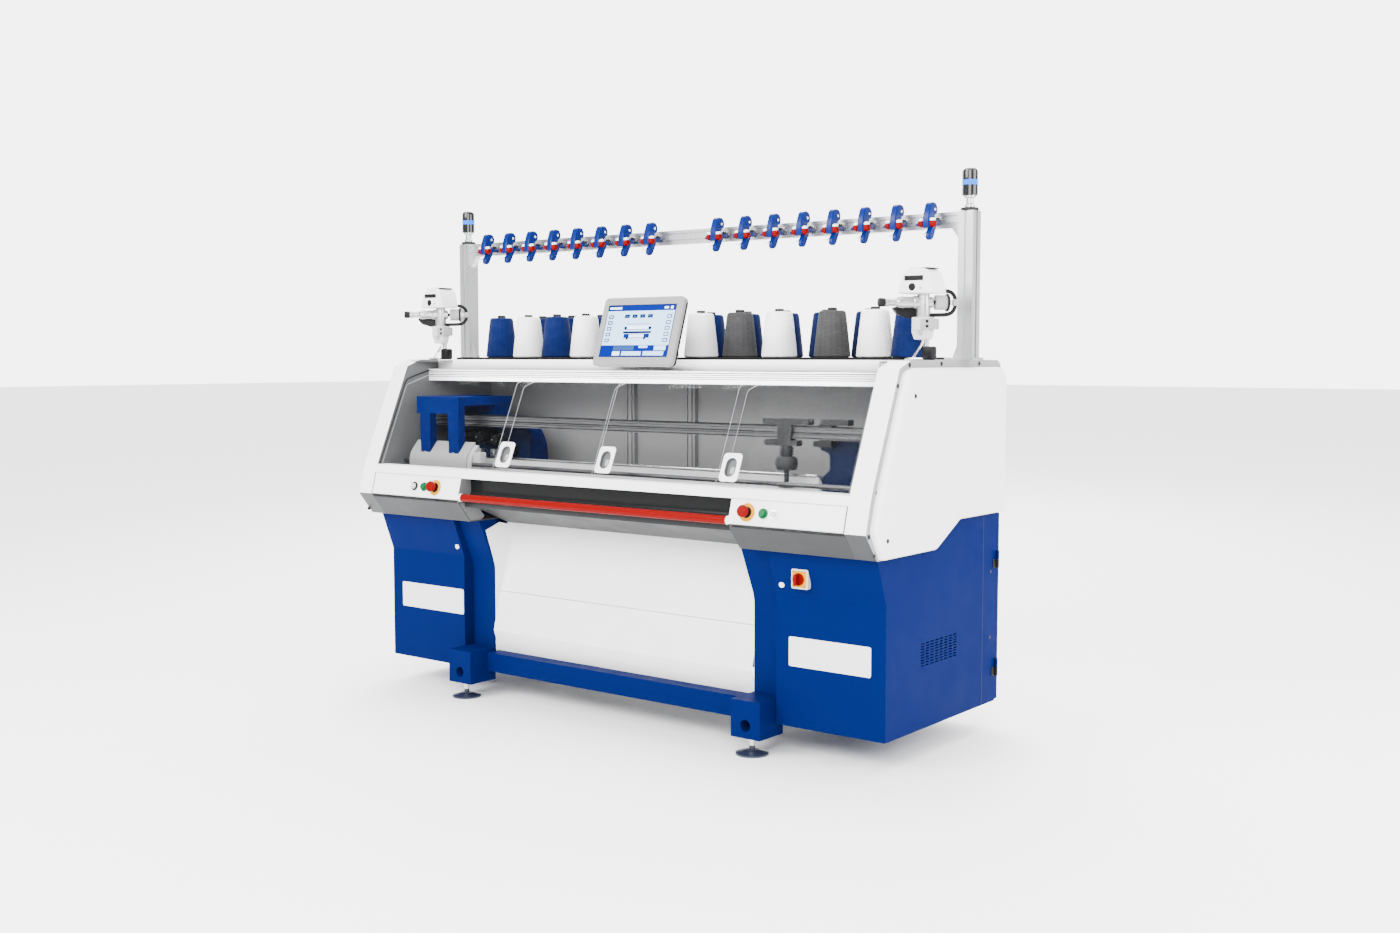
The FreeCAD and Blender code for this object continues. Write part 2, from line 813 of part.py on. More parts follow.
def inner_wall():
    wall = box(-frame_inner_x, frame_inner_x, inner_wall_y, inner_wall_y + sheet, tail_z, shelf_under_z)
    holes = [rod(vec(side * pulley_x, inner_wall_y - 1, pulley_z), vec(0, 1, 0),
                 pulley_shaft_radius + running_clearance, sheet + 2) for side in (-1, 1)]
    wall = wall.cut(holes)
    posts = []
    for x in (-300.0, 0.0):
        post = box(x - 22, x + 22, inner_wall_y - 20, inner_wall_y, tail_z, shelf_under_z)
        grooves = [box(x + dx - 4, x + dx + 4, inner_wall_y - 21, inner_wall_y - 14, tail_z - 1, shelf_under_z + 1)
                   for dx in (-11, 11)]
        posts.append(post.cut(grooves))
    return group([wall] + posts)


def rear_cover():
    upper = box(-frame_inner_x, frame_inner_x, rear_cover_y, rear_cover_y + sheet, tail_z, frame_top_z)
    middle = (tail_z + shelf_under_z) / 2
    seams = []
    for row in range(12):
        for x in (-600.0, 600.0):
            z = middle - 120 + row * 14
            seams.append(box(x - 130, x + 130, rear_cover_y - 1, rear_cover_y + sheet + 1, z, z + 5))
    upper = upper.cut(seams)
    lower = box(-cabinet_inner_x, cabinet_inner_x, rear_cover_y, rear_cover_y + sheet, block_top_z, tail_z)
    return group([upper, lower])


# ---------------------------------------------------------------- chute and take-down
def chute_end():
    """The white side plate on the leg's inner face; it carries the rollers' journals."""
    outline = [(leg_front_y + 4, beam_top_z), (leg_front_y + 4, leg_curve_z), (0, body_floor_z - 40),
               (guard_back_y - 40, guard_back_z + 4), (guard_back_y + 6, guard_back_z - 8),
               (guard_back_y + 6, roller_z + roller_cheek), (roller_y + 40, roller_z + roller_cheek),
               (roller_y + 40, beam_top_z)]
    plate = profile("YZ", outline, [0, 100, 0, 0, 0, 6, 6, 0], leg_inner_x - side_plate, leg_inner_x)
    holes = [rod(vec(leg_inner_x - side_plate - 1, y, roller_z), vec(1, 0, 0),
                 journal_radius + running_clearance, side_plate + 2) for y in (roller_y, roller_front_y)]
    return plate.cut(holes)


def chute_half_x():
    return leg_inner_x - side_plate


def chute_panels():
    half = chute_half_x()
    slope = unit_2d((chute_seam_y, chute_seam_z), (chute_top_y, chute_top_z))
    gap_y = slope[0] * chute_seam_gap
    gap_z = slope[1] * chute_seam_gap
    upper = folded("YZ", [(chute_seam_y + gap_y, chute_seam_z + gap_z), (chute_top_y, chute_top_z)], [0, 0],
                   -sheet, -half, half)
    lower = folded("YZ", [(chute_foot_y, beam_top_z), (chute_bend_y, chute_bend_z), (chute_seam_y, chute_seam_z)],
                   [0, 12, 0], -sheet, -half, half)
    return group([upper, lower, chute_end(), mirrored(chute_end())])


def takedown_roller(y):
    half = chute_half_x()
    body = rod(vec(-half + 1, y, roller_z), vec(1, 0, 0), roller_radius, 2 * half - 2)
    journal = rod(vec(-half - side_plate + 0.5, y, roller_z), vec(1, 0, 0), journal_radius,
                  2 * (half + side_plate) - 1)
    return fuse([body, journal])


# ---------------------------------------------------------------- needle beds, guides, feeders
def needle_bed(crest_y, crest_z, direction, x0, x1):
    """A slab that falls away at 45 degrees from its crest; direction is -1 forwards, +1 back."""
    run = direction * bed_run
    lean = direction * bed_thickness
    outline = [(crest_y, crest_z), (crest_y + run, crest_z - bed_run), (crest_y + run - lean, crest_z - bed_run - bed_thickness),
               (crest_y, crest_z - 2 * bed_thickness)]
    return profile("YZ", outline, [0, 0, 0, 0], x0, x1)


def needle_bed_front():
    return needle_bed(front_bed_y, front_bed_z, -1, -frame_inner_x, frame_inner_x)


def needle_bed_rear():
    return needle_bed(rear_bed_y, rear_bed_z, 1, -frame_inner_x, casting_start_x)


def carriage_guides():
    guides = []
    reach = frame_inner_x + frame_wall
    for y in (front_guide_y, rear_guide_y):
        x1 = reach
        guides.append(rod(vec(-reach, y, guide_z), vec(1, 0, 0), guide_radius, x1 + reach))
    return group(guides)


def feeder_rails():
    rails = []
    for i in range(3):
        y = feeder_first_y + i * feeder_pitch_y
        half = feeder_thickness / 2
        rail = box(-frame_inner_x, frame_inner_x, y - half, y + half, feeder_bottom_z, feeder_top_z)
        middle = (feeder_bottom_z + feeder_top_z) / 2
        for side in (-1, 1):
            near = y + side * half
            low = min(near, near - side * feeder_groove)
            rail = rail.cut(box(-frame_inner_x - 1, frame_inner_x + 1, low, low + feeder_groove, middle - 5, middle + 5))
        rails.append(rail)
    return group(rails)


def end_casting():
    """The blue bracket at the right end that carries the rear bed's end."""
    outline = [(casting_start_x, casting_bottom_z), (frame_inner_x, casting_bottom_z), (frame_inner_x, casting_top_z),
               (casting_start_x - 8, casting_top_z), (casting_start_x - 8, casting_top_z - 36),
               (casting_start_x + 30, casting_top_z - 48), (casting_start_x + 30, casting_bottom_z + 150),
               (casting_start_x, casting_bottom_z + 120)]
    body = profile("XZ", outline, [0, 0, 0, 4, 8, 20, 20, 0], casting_front_y, casting_rear_y)
    guide_way = rod(vec(casting_start_x - 20, rear_guide_y, guide_z), vec(1, 0, 0), guide_radius,
                    frame_inner_x - casting_start_x + 40)
    pocket = box(casting_start_x + 60, frame_inner_x - 30, casting_front_y + 20, casting_rear_y + 1,
                 casting_bottom_z + 20, casting_top_z - 20)
    return body.cut([guide_way, pocket])


# ---------------------------------------------------------------- carriage
def guide_hole(y):
    return rod(vec(bow_left_x - 10, y, guide_z), vec(1, 0, 0), guide_radius + running_clearance,
               rear_head_right_x - bow_left_x + 20)


def carriage_cover():
    """The rounded white cover of the front cam box, hollow underneath."""
    top_z = cover_centre_z + cover_front_radius
    front_y = cover_centre_y - cover_front_radius
    outline = [(front_y, cover_bottom_z), (front_y, top_z), (cover_back_y, top_z), (cover_back_y, cover_bottom_z)]
    body = profile("YZ", outline, [0, cover_front_radius - 1, 8, 0], carriage_left_x, carriage_right_x)
    hollow = box(carriage_left_x + 14, carriage_right_x - 14, front_y + 12, cover_back_y - 8,
                 cover_bottom_z - 1, guide_z - 12)
    return body.cut([hollow, guide_hole(front_guide_y)])


def bow_leg(x0, x1):
    return box(x0, x1, bow_front_y, bow_front_y + bow_leg_depth,
               cover_centre_z + cover_front_radius, bow_arch_z + 20)


def carriage_bow():
    """The blue bridge over the feeder rails and the rear head that it is cast with."""
    left = bow_leg(bow_left_x + 20, bow_left_x + bow_leg_left + 6)
    right = bow_leg(bow_right_x - bow_leg_right, bow_right_x)
    front = box(bow_left_x, bow_right_x, bow_front_y, bow_front_y + bow_leg_depth, bow_arch_z, bow_top_z)
    top = box(bow_left_x, bow_right_x, bow_front_y, rear_head_rear_y - 20, bow_under_z, bow_top_z)
    neck = box(bow_left_x + 40, bow_right_x - 10, rear_head_front_y, rear_head_rear_y - 20,
               rear_head_top_z - 20, bow_under_z + 1)
    low = guide_z - 20
    head_outline = [(rear_head_left_x, low), (rear_head_left_x, rear_head_top_z), (rear_head_right_x, rear_head_top_z),
                    (rear_head_right_x, low)]
    head = profile("XZ", head_outline, [0, 40, rear_head_round, 0], rear_head_front_y, rear_head_rear_y)
    belt_top = pulley_z + pulley_radius + belt_thickness
    arm = box(rear_head_left_x + 120, rear_head_left_x + 240, rear_head_rear_y - 1, belt_y + belt_width,
              belt_top + 0.5, belt_top + 14)
    return fuse([left, right, front, top, neck, head, arm]).cut(guide_hole(rear_guide_y))


def rail_clearance(y):
    """The space that a carrier's saddle leaves round its own feeder rail."""
    half = feeder_thickness / 2 + carrier_slack
    return box(-frame_inner_x, frame_inner_x, y - half, y + half,
               feeder_bottom_z - carrier_slack, feeder_top_z + carrier_slack)


def carrier_saddle(x, y, width, plate_left, plate_right, bottom_z):
    half_y = 17.0
    head = box(x - width / 2, x + width / 2, y - half_y, y + half_y, bottom_z, feeder_top_z + 12)
    plate = box(x - plate_left, x + plate_right, y - half_y, y + half_y, feeder_top_z + 6, feeder_top_z + 26)
    plate = plate.makeFillet(5, [e for e in plate.Edges if abs(e.tangentAt(e.FirstParameter).y) > 0.9])
    return fuse([head, plate]).cut(rail_clearance(y))


def yarn_carrier_1():
    """The carrier with a long spring neck, a round damper and a yarn tube."""
    x = carrier_one_x
    y = feeder_first_y
    saddle = carrier_saddle(x, y, 54, 86, 98, feeder_bottom_z - 18)
    flange = box(x - 82, x + 52, y - 16, y + 16, feeder_bottom_z - 24, feeder_bottom_z - 4)
    flange = flange.makeFillet(7, [e for e in flange.Edges if abs(e.tangentAt(e.FirstParameter).y) > 0.9])
    flange = flange.cut(rail_clearance(y))
    neck = rod(vec(x, y, 968), vec(0, 0, 1), 19, feeder_bottom_z - 24 - 968 + 2)
    damper = Part.makeSphere(38, vec(x, y, 950))
    ring = box(x - 60, x + 60, y - 38, y + 38, 928, 972)
    damper = damper.common(ring)
    tube = rod(vec(x, y, 880), vec(0, 0, 1), 8, 52)
    foot = box(x - 28, x + 28, y - 9, y + 9, 868, 882)
    foot = foot.makeFillet(4, [e for e in foot.Edges if abs(e.tangentAt(e.FirstParameter).y) > 0.9])
    fins = [rod(vec(x, y, z), vec(0, 0, 1), 24, 5) for z in (978, 987, 996)]
    return fuse([saddle, flange, neck, damper, tube, foot] + fins)


def yarn_carrier_2():
    x = carrier_two_x
    y = feeder_first_y + feeder_pitch_y
    saddle = carrier_saddle(x, y, 48, 16, 88, feeder_bottom_z - 22)
    side = box(x - 50, x + 24, y - 12, y + 12, feeder_bottom_z - 26, feeder_bottom_z - 8)
    return fuse([saddle, side]).cut(rail_clearance(y))


# ---------------------------------------------------------------- belt drive
def drive_belt():
    def loop(radius, y0, y1):
        left = rod(vec(-pulley_x, y0, pulley_z), vec(0, 1, 0), radius, y1 - y0)
        right = rod(vec(pulley_x, y0, pulley_z), vec(0, 1, 0), radius, y1 - y0)
        middle = box(-pulley_x, pulley_x, y0, y1, pulley_z - radius, pulley_z + radius)
        return fuse([left, middle, right])
    inner = pulley_radius + running_clearance
    outer = loop(pulley_radius + belt_thickness, belt_y, belt_y + belt_width)
    return outer.cut(loop(inner, belt_y - 1, belt_y + belt_width + 1))


def drive_pulley(side):
    x = side * pulley_x
    rim = rod(vec(x, belt_y - 3, pulley_z), vec(0, 1, 0), pulley_radius, belt_width + 6)
    cheek = rod(vec(x, belt_y - 6, pulley_z), vec(0, 1, 0), pulley_radius + 5, 4)
    shaft = rod(vec(x, belt_y - 10, pulley_z), vec(0, 1, 0), pulley_shaft_radius, inner_wall_y + 24 - belt_y + 10)
    holes = []
    for i in range(5):
        angle = math.radians(72 * i)
        start = vec(x + 21 * math.cos(angle), belt_y - 10, pulley_z + 21 * math.sin(angle))
        holes.append(rod(start, vec(0, 1, 0), 6, belt_width + 20))
    return fuse([rim, cheek, shaft]).cut(holes)


# ---------------------------------------------------------------- creel
def slotted_column():
    column = box(column_inner_x, column_outer_x, column_front_y, column_front_y + column_size,
                 frame_top_z + column_plate, column_top_z)
    z0 = frame_top_z + column_plate - 1
    z1 = column_top_z + 1
    half = column_slot / 2
    cuts = [box(column_mid_x - half, column_mid_x + half, column_front_y - 1, column_front_y + column_slot_depth, z0, z1),
            box(column_mid_x - half, column_mid_x + half, column_front_y + column_size - column_slot_depth,
                column_front_y + column_size + 1, z0, z1),
            box(column_outer_x - column_slot_depth, column_outer_x + 1, column_mid_y - half, column_mid_y + half, z0, z1)]
    plate = box(frame_inner_x + 20, column_outer_x + column_plate_margin, column_front_y - column_plate_margin,
                column_front_y + column_size + column_plate_margin, frame_top_z, frame_top_z + column_plate)
    gusset = [(column_inner_x, frame_top_z + column_plate), (column_inner_x, frame_top_z + 70),
              (column_inner_x - 26, frame_top_z + column_plate)]
    web = profile("XZ", gusset, [0, 0, 0], column_mid_y - 8, column_mid_y + 8)
    return fuse([column.cut(cuts), plate, web])


def creel_rail():
    y0 = column_mid_y - rail_depth / 2
    rail = box(-column_inner_x, column_inner_x, y0, y0 + rail_depth, rail_bottom_z, rail_bottom_z + rail_height)
    grooves = []
    for z in (rail_bottom_z + rail_height * 0.27, rail_bottom_z + rail_height * 0.73):
        grooves.append(box(-column_inner_x - 1, column_inner_x + 1, y0 - 1, y0 + 5, z - 3.5, z + 3.5))
        grooves.append(box(-column_inner_x - 1, column_inner_x + 1, y0 + rail_depth - 5, y0 + rail_depth + 1,
                           z - 3.5, z + 3.5))
    return rail.cut(grooves)


def rail_bracket():
    y0 = column_mid_y - rail_depth / 2
    outline = [(column_inner_x, rail_bottom_z), (column_inner_x, rail_bottom_z - 44), (column_inner_x - 30, rail_bottom_z)]
    return profile("XZ", outline, [0, 0, 0], y0, y0 + rail_depth)


def creel_frame():
    right = fuse([slotted_column(), rail_bracket()])
    return group([right, mirrored(right), creel_rail()])


def brake_positions():
    spots = []
    for centre in brake_group_centres:
        for i in range(brake_count):
            spots.append(centre + (i - (brake_count - 1) / 2) * brake_pitch)
    return spots


def brake_face_y():
    return column_mid_y - rail_depth / 2


def yarn_brake(x):
    """An S-shaped moulding: a hook above the rail and a round-ended paddle below it."""
    y = brake_face_y() - brake_reach
    z = brake_axis_z
    half = brake_width / 2
    hook = [(y - 35, z - 24), (y - 34, z + 16), (y - 16, z + 62), (y + 18, z + 62), (y + 28, z + 42),
            (y + 23, z + 24), (y + 12, z + 26), (y + 4, z + 10), (y + 2, z - 24)]
    upper = profile("YZ", hook, [6, 16, 15, 14, 8, 5, 4, 6, 6], x - half, x + half)
    paddle = [(y - 34, z - 62), (y - 6, z - 66), (y + 24, z - 4), (y + 2, z + 6), (y - 10, z - 8)]
    lower = profile("YZ", paddle, [12, 12, 8, 6, 4], x - half + 2, x + half - 2)
    stem = box(x - 9, x + 9, y, brake_face_y(), z - 14, z + 10)
    boss = rod(vec(x - half - 6, y - 22, z - 8), vec(1, 0, 0), 8, brake_width + 12)
    return fuse([upper, lower, stem, boss])


def brake_knob_pair(x):
    y = brake_face_y() - brake_reach - 22
    z = brake_axis_z - 8
    reach = brake_width / 2 + 6
    left = Part.makeCone(knob_radius - 4, knob_radius, knob_length, vec(x - reach - knob_length, y, z), vec(1, 0, 0))
    right = Part.makeCone(knob_radius, knob_radius - 4, knob_length, vec(x + reach, y, z), vec(1, 0, 0))
    return [left, right]


def yarn_brakes():
    return group([yarn_brake(x) for x in brake_positions()])


def brake_knobs():
    knobs = []
    for x in brake_positions():
        knobs.extend(brake_knob_pair(x))
    return group(knobs)


def signal_lamp():
    base = rod(vec(column_mid_x, column_mid_y, column_top_z), vec(0, 0, 1), lamp_radius + 4, 10)
    stem = rod(vec(column_mid_x, column_mid_y, column_top_z + 9), vec(0, 0, 1), lamp_stem_radius, 46)
    low = column_top_z + 54
    body = rod(vec(column_mid_x, column_mid_y, low), vec(0, 0, 1), lamp_radius, lamp_height)
    body = body.makeFillet(7, [e for e in body.Edges if e.BoundBox.ZMin > low + lamp_height - 1])
    return fuse([base, stem, body])


def signal_lamps():
    lamp = signal_lamp()
    return group([lamp, mirrored(lamp)])


# ---------------------------------------------------------------- touch screen
def tilted(shape):
    moved = shape.copy()
    moved.rotate(vec(0, 0, 0), vec(1, 0, 0), -screen_tilt_deg)
    moved.translate(vec(screen_x, screen_centre_y, screen_centre_z))
    return moved


def touch_screen():
    """Bezel, display face and rear shell, with the two ears of its tilt hinge."""
    w = screen_width / 2
    h = screen_height / 2
    front = profile("XZ", [(-w, -h), (w, -h), (w, h), (-w, h)], [screen_corner] * 4, -screen_depth / 2, 0)
    window_cut = profile("XZ", [(-w + 24, -h + 26), (w - 24, -h + 26), (w - 24, h - 22), (-w + 24, h - 22)], [3] * 4,
                         -screen_depth / 2 - 1, -screen_depth / 2 + 2)
    rear = profile("XZ", [(-w + 12, -h + 12), (w - 12, -h + 12), (w - 12, h - 12), (-w + 12, h - 12)], [12] * 4,
                   0, screen_depth / 2)
    ears = [box(side * 40 - 6, side * 40 + 6, screen_depth / 2 - 1, screen_depth / 2 + 34, -22, 22)
            for side in (-1, 1)]
    pivot_hole = rod(vec(-60, screen_depth / 2 + 20, 0), vec(1, 0, 0), pivot_radius + running_clearance, 120)
    return tilted(fuse([front.cut(window_cut), rear] + ears).cut(pivot_hole))


def screen_pivot():
    """The tilt hinge's axis point."""
    angle = math.radians(-screen_tilt_deg)
    reach = screen_depth / 2 + 20
    return vec(screen_x, screen_centre_y + reach * math.cos(angle), screen_centre_z + reach * math.sin(angle))


def screen_arm():
    pivot = screen_pivot()
    pin = rod(vec(pivot.x - 48, pivot.y, pivot.z), vec(1, 0, 0), pivot_radius, 96)
    clevis = rod(vec(pivot.x - 33, pivot.y, pivot.z), vec(1, 0, 0), 20, 66)
    post = box(pivot.x - 22, pivot.x + 22, pivot.y - 4, pivot.y + 16, frame_top_z + 4, pivot.z - 4)
    foot = box(pivot.x - 70, pivot.x + 70, pivot.y - 4, shelf_front_y + mat_front_gap - 1,
               frame_top_z, frame_top_z + 8)
    tab = box(pivot.x - 70, pivot.x + 70, shelf_front_y - 6, shelf_front_y, shelf_front_bottom_z + 8, frame_top_z + 4)
    return fuse([pin, clevis, post, foot, tab])


# ---------------------------------------------------------------- yarn feed units
def feed_frame(shape, side):
    moved = shape.copy()
    moved.translate(vec(side * feed_x, feed_y, feed_axis_z))
    return moved


def feed_axis():
    angle = math.radians(feed_turn_deg)
    return vec(-math.cos(angle), -math.sin(angle), 0)


def along_feed(distance, z=0.0):
    axis = feed_axis()
    return vec(axis.x * distance, axis.y * distance, z)


def feed_head():
    w = feed_head_width / 2
    outline = [(-w, feed_head_bottom), (w, feed_head_bottom), (w - 18, feed_head_top), (-w + 18, feed_head_top)]
    head = profile("XZ", outline, [10, 10, 34, 34], -feed_head_depth / 2, feed_head_depth / 2)
    return head


def feed_body():
    """Housing, barrel, spool cage, clamp and foot of one unit, round the barrel's middle."""
    barrel = Part.makeCone(19, 15, 90, along_feed(8), feed_axis())
    nozzle = rod(along_feed(88), feed_axis(), 12, 42)
    tip = rod(along_feed(128), feed_axis(), 14, 18)
    neck = rod(vec(0, 0, -70), vec(0, 0, 1), 21, feed_head_bottom + 74)
    collar = rod(along_feed(-spool_start + 4), feed_axis(), 17, spool_start + 8)
    clamp = box(-25, 25, -22, 22, -80, -24)
    jaw = box(-34, 34, -16, 30, -118, -78)
    foot_z = frame_top_z - feed_axis_z
    post = rod(vec(0, 10, foot_z + 4), vec(0, 0, 1), 9, -112 - foot_z)
    foot = box(-34, 34, -20, 40, foot_z, foot_z + 8)
    spool_bore = rod(along_feed(-spool_start - spool_length - 40), feed_axis(),
                     spool_shaft_radius + running_clearance, spool_length + 60)
    return fuse([neck, collar, barrel, nozzle, tip, feed_head(), cage_loop(), clamp, jaw, post, foot]).cut(spool_bore)


def cage_loop():
    """The black bow that carries the spool's outer bearing."""
    reach = spool_start + spool_length + 16
    high = spool_radius + spool_ring + cage_gap
    backwards = feed_axis() * -1
    top = rod(along_feed(-2, high + 6), backwards, 6, reach - 2)
    low = rod(along_feed(-2, -high - 6), backwards, 6, reach - 2)
    post = rod(along_feed(-reach, -high - 10), vec(0, 0, 1), 8, 2 * high + 20)
    boss = rod(along_feed(-reach + 10), backwards, 12, 20)
    return fuse([post, boss, top, low])


def feed_unit_bodies():
    return group([feed_frame(feed_body(), -1), feed_frame(feed_body(), 1)])


def feed_spool(side):
    backwards = feed_axis() * -1
    drum = rod(along_feed(-spool_start), backwards, spool_radius, spool_length)
    ring = rod(along_feed(-spool_start - spool_length + 8), backwards, spool_radius + spool_ring, 8)
    shaft = rod(along_feed(-spool_start + 12), backwards, spool_shaft_radius, spool_length + 30)
    return feed_frame(fuse([drum, ring, shaft]), side)


# ---------------------------------------------------------------- yarn cones
def yarn_cone(x, y):
    base_z = frame_top_z + mat_thickness
    body = Part.makeCone(cone_base_radius, cone_top_radius, cone_height, vec(x, y, base_z))
    tip = rod(vec(x, y, base_z + cone_height), vec(0, 0, 1), cone_tip_radius, cone_tip_height)
    return fuse([body, tip])


def yarn_cones():
    cones = [yarn_cone(x, cone_front_y) for x in cone_front_x]
    cones += [yarn_cone(x, cone_back_y) for x in cone_back_x]
    return group(cones)


# ---------------------------------------------------------------- operator controls
def push_button(x):
    cap = rod(panel_spot(x, bezel_height + 0.5), panel_axis(), button_radius, button_height - 0.5)
    stem = rod(panel_spot(x, -14), panel_axis(), 6, 15 + bezel_height)
    return fuse([cap, stem])


def estop(x):
    neck = rod(panel_spot(x, collar_height + 6), panel_axis(), 13, estop_neck - 4)
    head = rod(panel_spot(x, collar_height + estop_neck), panel_axis(), estop_radius, estop_height)
    head = head.makeFillet(6, head.Edges)
    stem = rod(panel_spot(x, -14), panel_axis(), 6, 24 + collar_height)
    return fuse([neck, head, stem])


def bezel(x, radius, height, hole):
    ring = rod(panel_spot(x, 0), panel_axis(), radius, height)
    if hole > 0:
        ring = ring.cut(rod(panel_spot(x, -1), panel_axis(), hole, height + 2))
    return ring


def indicator(x):
    ring = bezel(x, bezel_radius, bezel_height, 0)
    lens = rod(panel_spot(x, bezel_height - 1), panel_axis(), button_radius, button_height)
    return fuse([ring, lens])


def cabinet_front_at(z):
    share = max(0.0, (z - cabinet_bend_z) / (body_floor_z - cabinet_bend_z))
    return -cabinet_lean_y * share


def switch_face_y():
    return cabinet_front_at(switch_z) - switch_box_depth


def switch_bezels():
    half = switch_plate / 2
    low = switch_z - half
    high = switch_z + half
    box_outline = [(switch_face_y(), low), (switch_face_y(), high), (cabinet_front_at(high), high),
                   (cabinet_front_at(low), low)]
    housing = profile("YZ", box_outline, [2, 2, 0, 0], switch_x - half, switch_x + half)
    ring = rod(vec(switch_x, switch_face_y() - 3, switch_z), vec(0, 1, 0), collar_radius - 4, 3.5)
    bore = rod(vec(switch_x, switch_face_y() - 4, switch_z), vec(0, 1, 0), 7 + running_clearance, 12)
    pieces = [fuse([housing, ring]).cut(bore)]
    green = (left_controls_x[1], right_controls_x[1])
    red = (left_controls_x[2], right_controls_x[0])
    lamps = (left_controls_x[0], right_controls_x[2])
    for x in green:
        pieces.append(bezel(x, bezel_radius, bezel_height, button_radius + running_clearance))
    for x in red:
        pieces.append(bezel(x, collar_radius, collar_height, 6 + running_clearance))
    for x in lamps:
        pieces.append(indicator(x))
    return group(pieces)


def main_switch_knob():
    face = switch_face_y() - 3.5
    skirt = rod(vec(switch_x, face - 6, switch_z), vec(0, 1, 0), switch_knob_radius, 6)
    grip = box(switch_x - 5, switch_x + 5, face - switch_knob_height, face - 5, switch_z - 18, switch_z + 18)
    grip = grip.makeFillet(3, [e for e in grip.Edges if abs(e.tangentAt(e.FirstParameter).y) > 0.9])
    stem = rod(vec(switch_x, face - 1, switch_z), vec(0, 1, 0), 7, 10)
    return fuse([skirt, grip, stem])


# ---------------------------------------------------------------- the machine
def build():
    parts["base_frame"] = base_frame()
    parts["levelling_feet"] = levelling_feet()
    parts["cabinet_right"] = cabinet_right()
    parts["cabinet_left"] = mirrored(cabinet_right())
    parts["door_hinges"] = door_hinges()
    parts["rear_door_right"] = rear_door_right()
    parts["rear_door_left"] = mirrored(rear_door_right())
    parts["chute_panels"] = chute_panels()
    parts["takedown_roller"] = takedown_roller(roller_y)
    parts["press_roller"] = takedown_roller(roller_front_y)
    parts["end_frame_right"] = end_frame_right()
    parts["end_frame_left"] = mirrored(end_frame_right())
    parts["side_cover_right"] = side_cover_right()
    parts["side_cover_left"] = mirrored(side_cover_right())
    parts["front_ledge"] = front_ledge()
    bushes, bush_hole = bar_bushes()
    parts["control_panel_left"] = fuse([control_panel_left().cut(bush_hole), bushes[0]])
    parts["control_panel_right"] = fuse([control_panel_right().cut(bush_hole), bushes[1]])
    parts["belly_panel"] = belly_panel()
    parts["recess_panel"] = recess_panel()
    parts["start_bar"] = start_bar()
    parts["window_fixed"] = window(0)
    for index in (1, 2, 3):
        parts["window_%d" % (index + 1)] = window(index)
        parts["window_handle_%d" % (index + 1)] = window_handle(index)
    parts["top_shelf"] = top_shelf()
    parts["shelf_mat"] = shelf_mat()
    parts["shelf_rail"] = shelf_rail()
    parts["inner_wall"] = inner_wall()
    parts["rear_cover"] = rear_cover()
    parts["needle_bed_front"] = needle_bed_front()
    parts["needle_bed_rear"] = needle_bed_rear()
    parts["carriage_guides"] = carriage_guides()
    parts["feeder_rails"] = feeder_rails()
    parts["end_casting"] = end_casting()
    parts["carriage_cover"] = carriage_cover()
    parts["carriage_bow"] = carriage_bow()
    parts["yarn_carrier_1"] = yarn_carrier_1()
    parts["yarn_carrier_2"] = yarn_carrier_2()
    parts["drive_belt"] = drive_belt()
    parts["drive_pulley_left"] = drive_pulley(-1)
    parts["drive_pulley_right"] = drive_pulley(1)
    parts["creel_frame"] = creel_frame()
    parts["yarn_brakes"] = yarn_brakes()
    parts["brake_knobs"] = brake_knobs()
    parts["signal_lamps"] = signal_lamps()
    parts["touch_screen"] = touch_screen()
    parts["screen_arm"] = screen_arm()
    parts["feed_unit_bodies"] = feed_unit_bodies()
    parts["feed_spool_left"] = feed_spool(-1)
    parts["feed_spool_right"] = feed_spool(1)
    parts["yarn_cones"] = yarn_cones()
    parts["switch_bezels"] = switch_bezels()
    parts["green_button_left"] = push_button(left_controls_x[1])
    parts["green_button_right"] = push_button(right_controls_x[1])
    parts["estop_left"] = estop(left_controls_x[2])
    parts["estop_right"] = estop(right_controls_x[0])
    parts["main_switch_knob"] = main_switch_knob()


def overall_shift():
    """The move that puts the origin in the middle of the overall box, on the floor."""
    whole = FreeCAD.BoundBox()
    for shape in parts.values():
        whole.add(shape.BoundBox)
    return vec(-whole.Center.x, -whole.Center.y, -whole.ZMin)


def main():
    build()
    shift = overall_shift()
    print("moved by", round(shift.x, 3), round(shift.y, 3), round(shift.z, 3))
    os.makedirs("parts", exist_ok=True)
    for name, shape in parts.items():
        shape.translate(shift)
        shape.exportStep("parts/%s.step" % name)
    print(len(parts), "parts")


main()
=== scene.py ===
import math

import bmesh
import bpy
from bpy.props import FloatProperty, FloatVectorProperty, IntProperty, PointerProperty
from mathutils import Matrix, Vector


